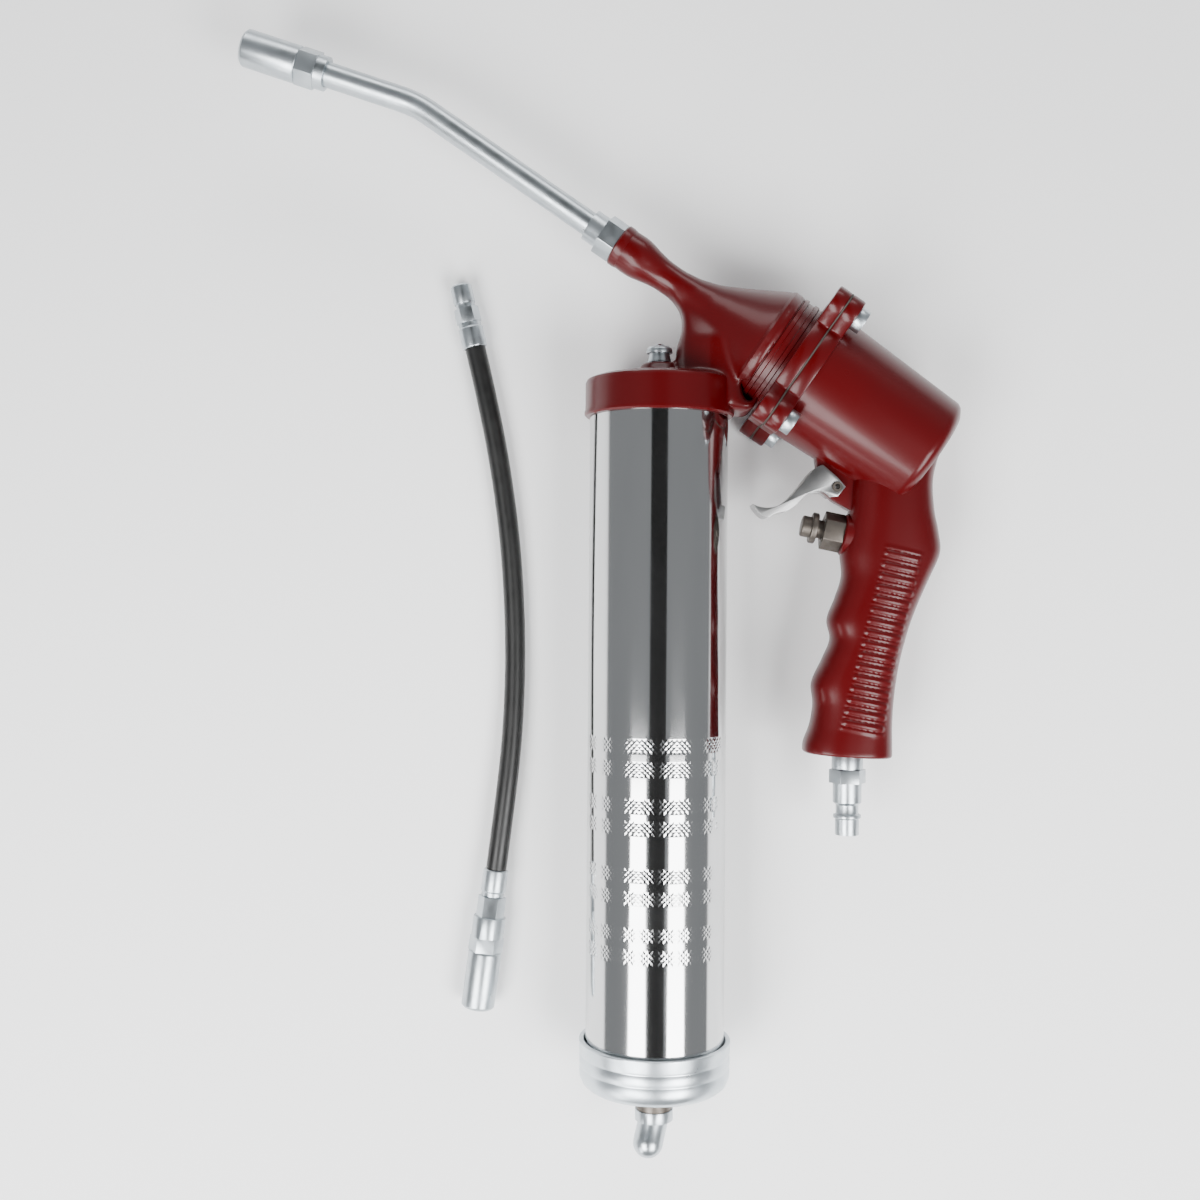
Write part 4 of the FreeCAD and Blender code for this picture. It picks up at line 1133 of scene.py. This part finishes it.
@dataclass
class SpareHose:
    """The loose flexible hose, from the ferrule at its nipple to the one at its coupler.

    Attributes:
        diameter: outer diameter in metres.
        length: length between the ferrules in metres; not used.
        route: corners of its middle line, in millimetres of the gun's frame.
        fittings: the CAD nodes that go with it.
    """

    diameter: float = 8.8 * MM
    length: float = 226.4 * MM
    route: tuple[tuple[float, float, float], ...] = (
        (-78.4, 31.7, -25.9), (-72.0, 5.5, -25.9), (-66.0, -26.5, -26.7), (-61.8, -60.0, -26.9),
        (-59.9, -99.0, -26.9), (-61.0, -136.0, -25.6), (-64.2, -166.0, -24.2),
        (-67.6, -192.7, -24.2))
    fittings: tuple[str, ...] = (
        "hose_nipple_ferrule", "hose_nipple", "hose_coupler_ferrule", "hose_coupler_body",
        "hose_coupler_sleeve", "hose_coupler_spring", "hose_coupler_jaws", "hose_coupler_seal")

    def build(self) -> bpy.types.Object:
        line = bpy.data.curves.new("hose_line", "CURVE")
        line.dimensions = "3D"
        spline = line.splines.new("NURBS")
        spline.points.add(len(self.route) - 1)
        places = [gun_point(*corner) for corner in self.route]
        for point, place in zip(spline.points, places):
            point.co = (*place, 1.0)
        spline.order_u = 3
        spline.use_endpoint_u = True
        spline.resolution_u = 16
        line.bevel_depth = self.diameter / 2
        line.bevel_resolution = 8
        line.use_fill_caps = True
        hose = bpy.data.objects.new("hose_tube", line)
        bpy.context.scene.collection.objects.link(hose)
        dress(hose, HOSE_COVER)
        finish_piece(hose, Body.HOSE, "hose_rubber", "spare_hose")
        list(self.fittings)
        return hose


# ---------------------------------------------------------------- studio

@dataclass
class Studio:
    """The camera straight above, a pale floor and soft lights.

    Attributes:
        camera_height: how far the camera is above the gun's mid-plane, in metres.
        lens: focal length in millimetres.
        roll: turn of the camera about its own axis, in radians.
        floor_colour: sRGB hex of the floor.
        world_colour: sRGB hex of the surround.
        world_strength: brightness of the surround.
    """

    camera_height: float = 578 * MM
    lens: float = 42.0
    roll: float = 0.0075
    floor_colour: str = "fbfbfb"
    world_colour: str = "eceff2"
    world_strength: float = 0.42

    def build(self) -> None:
        """Set up the camera, floor, world and lights."""
        self.add_camera()
        self.add_floor()
        self.add_world()
        self.add_light("left_strip", Vector((-0.40, -0.47, 0.72)), (0.42, 0.66), 14.0)
        self.add_light("right_strip", Vector((0.45, -0.47, 0.72)), (0.42, 0.66), 14.0)
        self.add_light("head_bank", Vector((0.0, 1.5, 0.7)), (2.0, 0.5), 16.0)
        self.add_light("low_left", Vector((-0.62, -0.85, 0.3)), (0.22, 0.5), 3.0)
        self.add_flag("lens_flag", Vector((0.012, 0.0, 0.8)), (0.36, 2.4))

    def add_camera(self) -> None:
        """Place the camera over the gun, looking straight down."""
        data = bpy.data.cameras.new("camera")
        data.lens = self.lens
        data.sensor_width = 36.0
        camera = bpy.data.objects.new("camera", data)
        bpy.context.scene.collection.objects.link(camera)
        camera.location = gun_point(-23.8, -76.6) + Vector((0, 0, self.camera_height))
        camera.rotation_euler = (0.0, 0.0, self.roll)
        bpy.context.scene.camera = camera

    def add_floor(self) -> None:
        """A plain pale floor under the gun."""
        deselect()
        bpy.ops.mesh.primitive_plane_add(size=12, location=(0, 0, -0.2 * MM))
        floor = bpy.context.object
        floor.name = "floor"
        material = bpy.data.materials.new("matte_white_board")
        material.use_nodes = True
        shader = material.node_tree.nodes["Principled BSDF"]
        shader.inputs["Base Color"].default_value = linear(self.floor_colour)
        shader.inputs["Roughness"].default_value = 0.75
        floor.data.materials.append(material)

    def add_world(self) -> None:
        """An even, pale surround."""
        world = bpy.data.worlds.new("surround")
        world.use_nodes = True
        surround = world.node_tree.nodes["Background"]
        surround.inputs["Color"].default_value = linear(self.world_colour)
        surround.inputs["Strength"].default_value = self.world_strength
        bpy.context.scene.world = world

    def add_light(self, name: str, place: Vector, size: tuple[float, float],
                  power: float) -> None:
        """A rectangular soft light aimed at the gun.

        Args:
            name: the light's name.
            place: where it stands, in metres.
            size: its width, and its length along the barrel, in metres.
            power: its power in watts.
        """
        data = bpy.data.lights.new(name, "AREA")
        data.shape = "RECTANGLE"
        data.size, data.size_y = size
        data.energy = power
        light = bpy.data.objects.new(name, data)
        bpy.context.scene.collection.objects.link(light)
        back = place.normalized()
        length = (Vector((0, 1, 0)) - back * back.y).normalized()
        axes = Matrix((length.cross(back), length, back)).transposed()
        light.matrix_world = Matrix.Translation(place) @ axes.to_4x4()

    def add_flag(self, name: str, place: Vector, size: tuple[float, float]) -> None:
        """A black card above the lens, for the dark stripe that bright metal shows."""
        deselect()
        bpy.ops.mesh.primitive_plane_add(size=1, location=place)
        flag = bpy.context.object
        flag.name = name
        flag.scale = (*size, 1)
        settle(flag)
        material = bpy.data.materials.new("black_card")
        material.use_nodes = True
        shader = material.node_tree.nodes["Principled BSDF"]
        shader.inputs["Base Color"].default_value = linear("030303")
        shader.inputs["Roughness"].default_value = 0.9
        flag.data.materials.append(material)
        flag.visible_camera = False


def dress_cad_nodes() -> None:
    """Give every CAD node in the table its finish."""
    for finish, nodes in CAD_FINISHES.items():
        for node in nodes:
            dress(frame["nodes"][node], finish)


def main() -> None:
    """Build the studio, dress the frame and add every finished piece."""
    Studio().build()
    SpareHose().build()
    dress_cad_nodes()
    log.info("every CAD node has its finish")
    HeadCasting().build()
    GripCasting().build()
    Barrel().build()
    for fitting in FITTINGS:
        fitting.build()
    for spring in SPRINGS:
        spring.build()


if __name__ == "__main__":
    main()
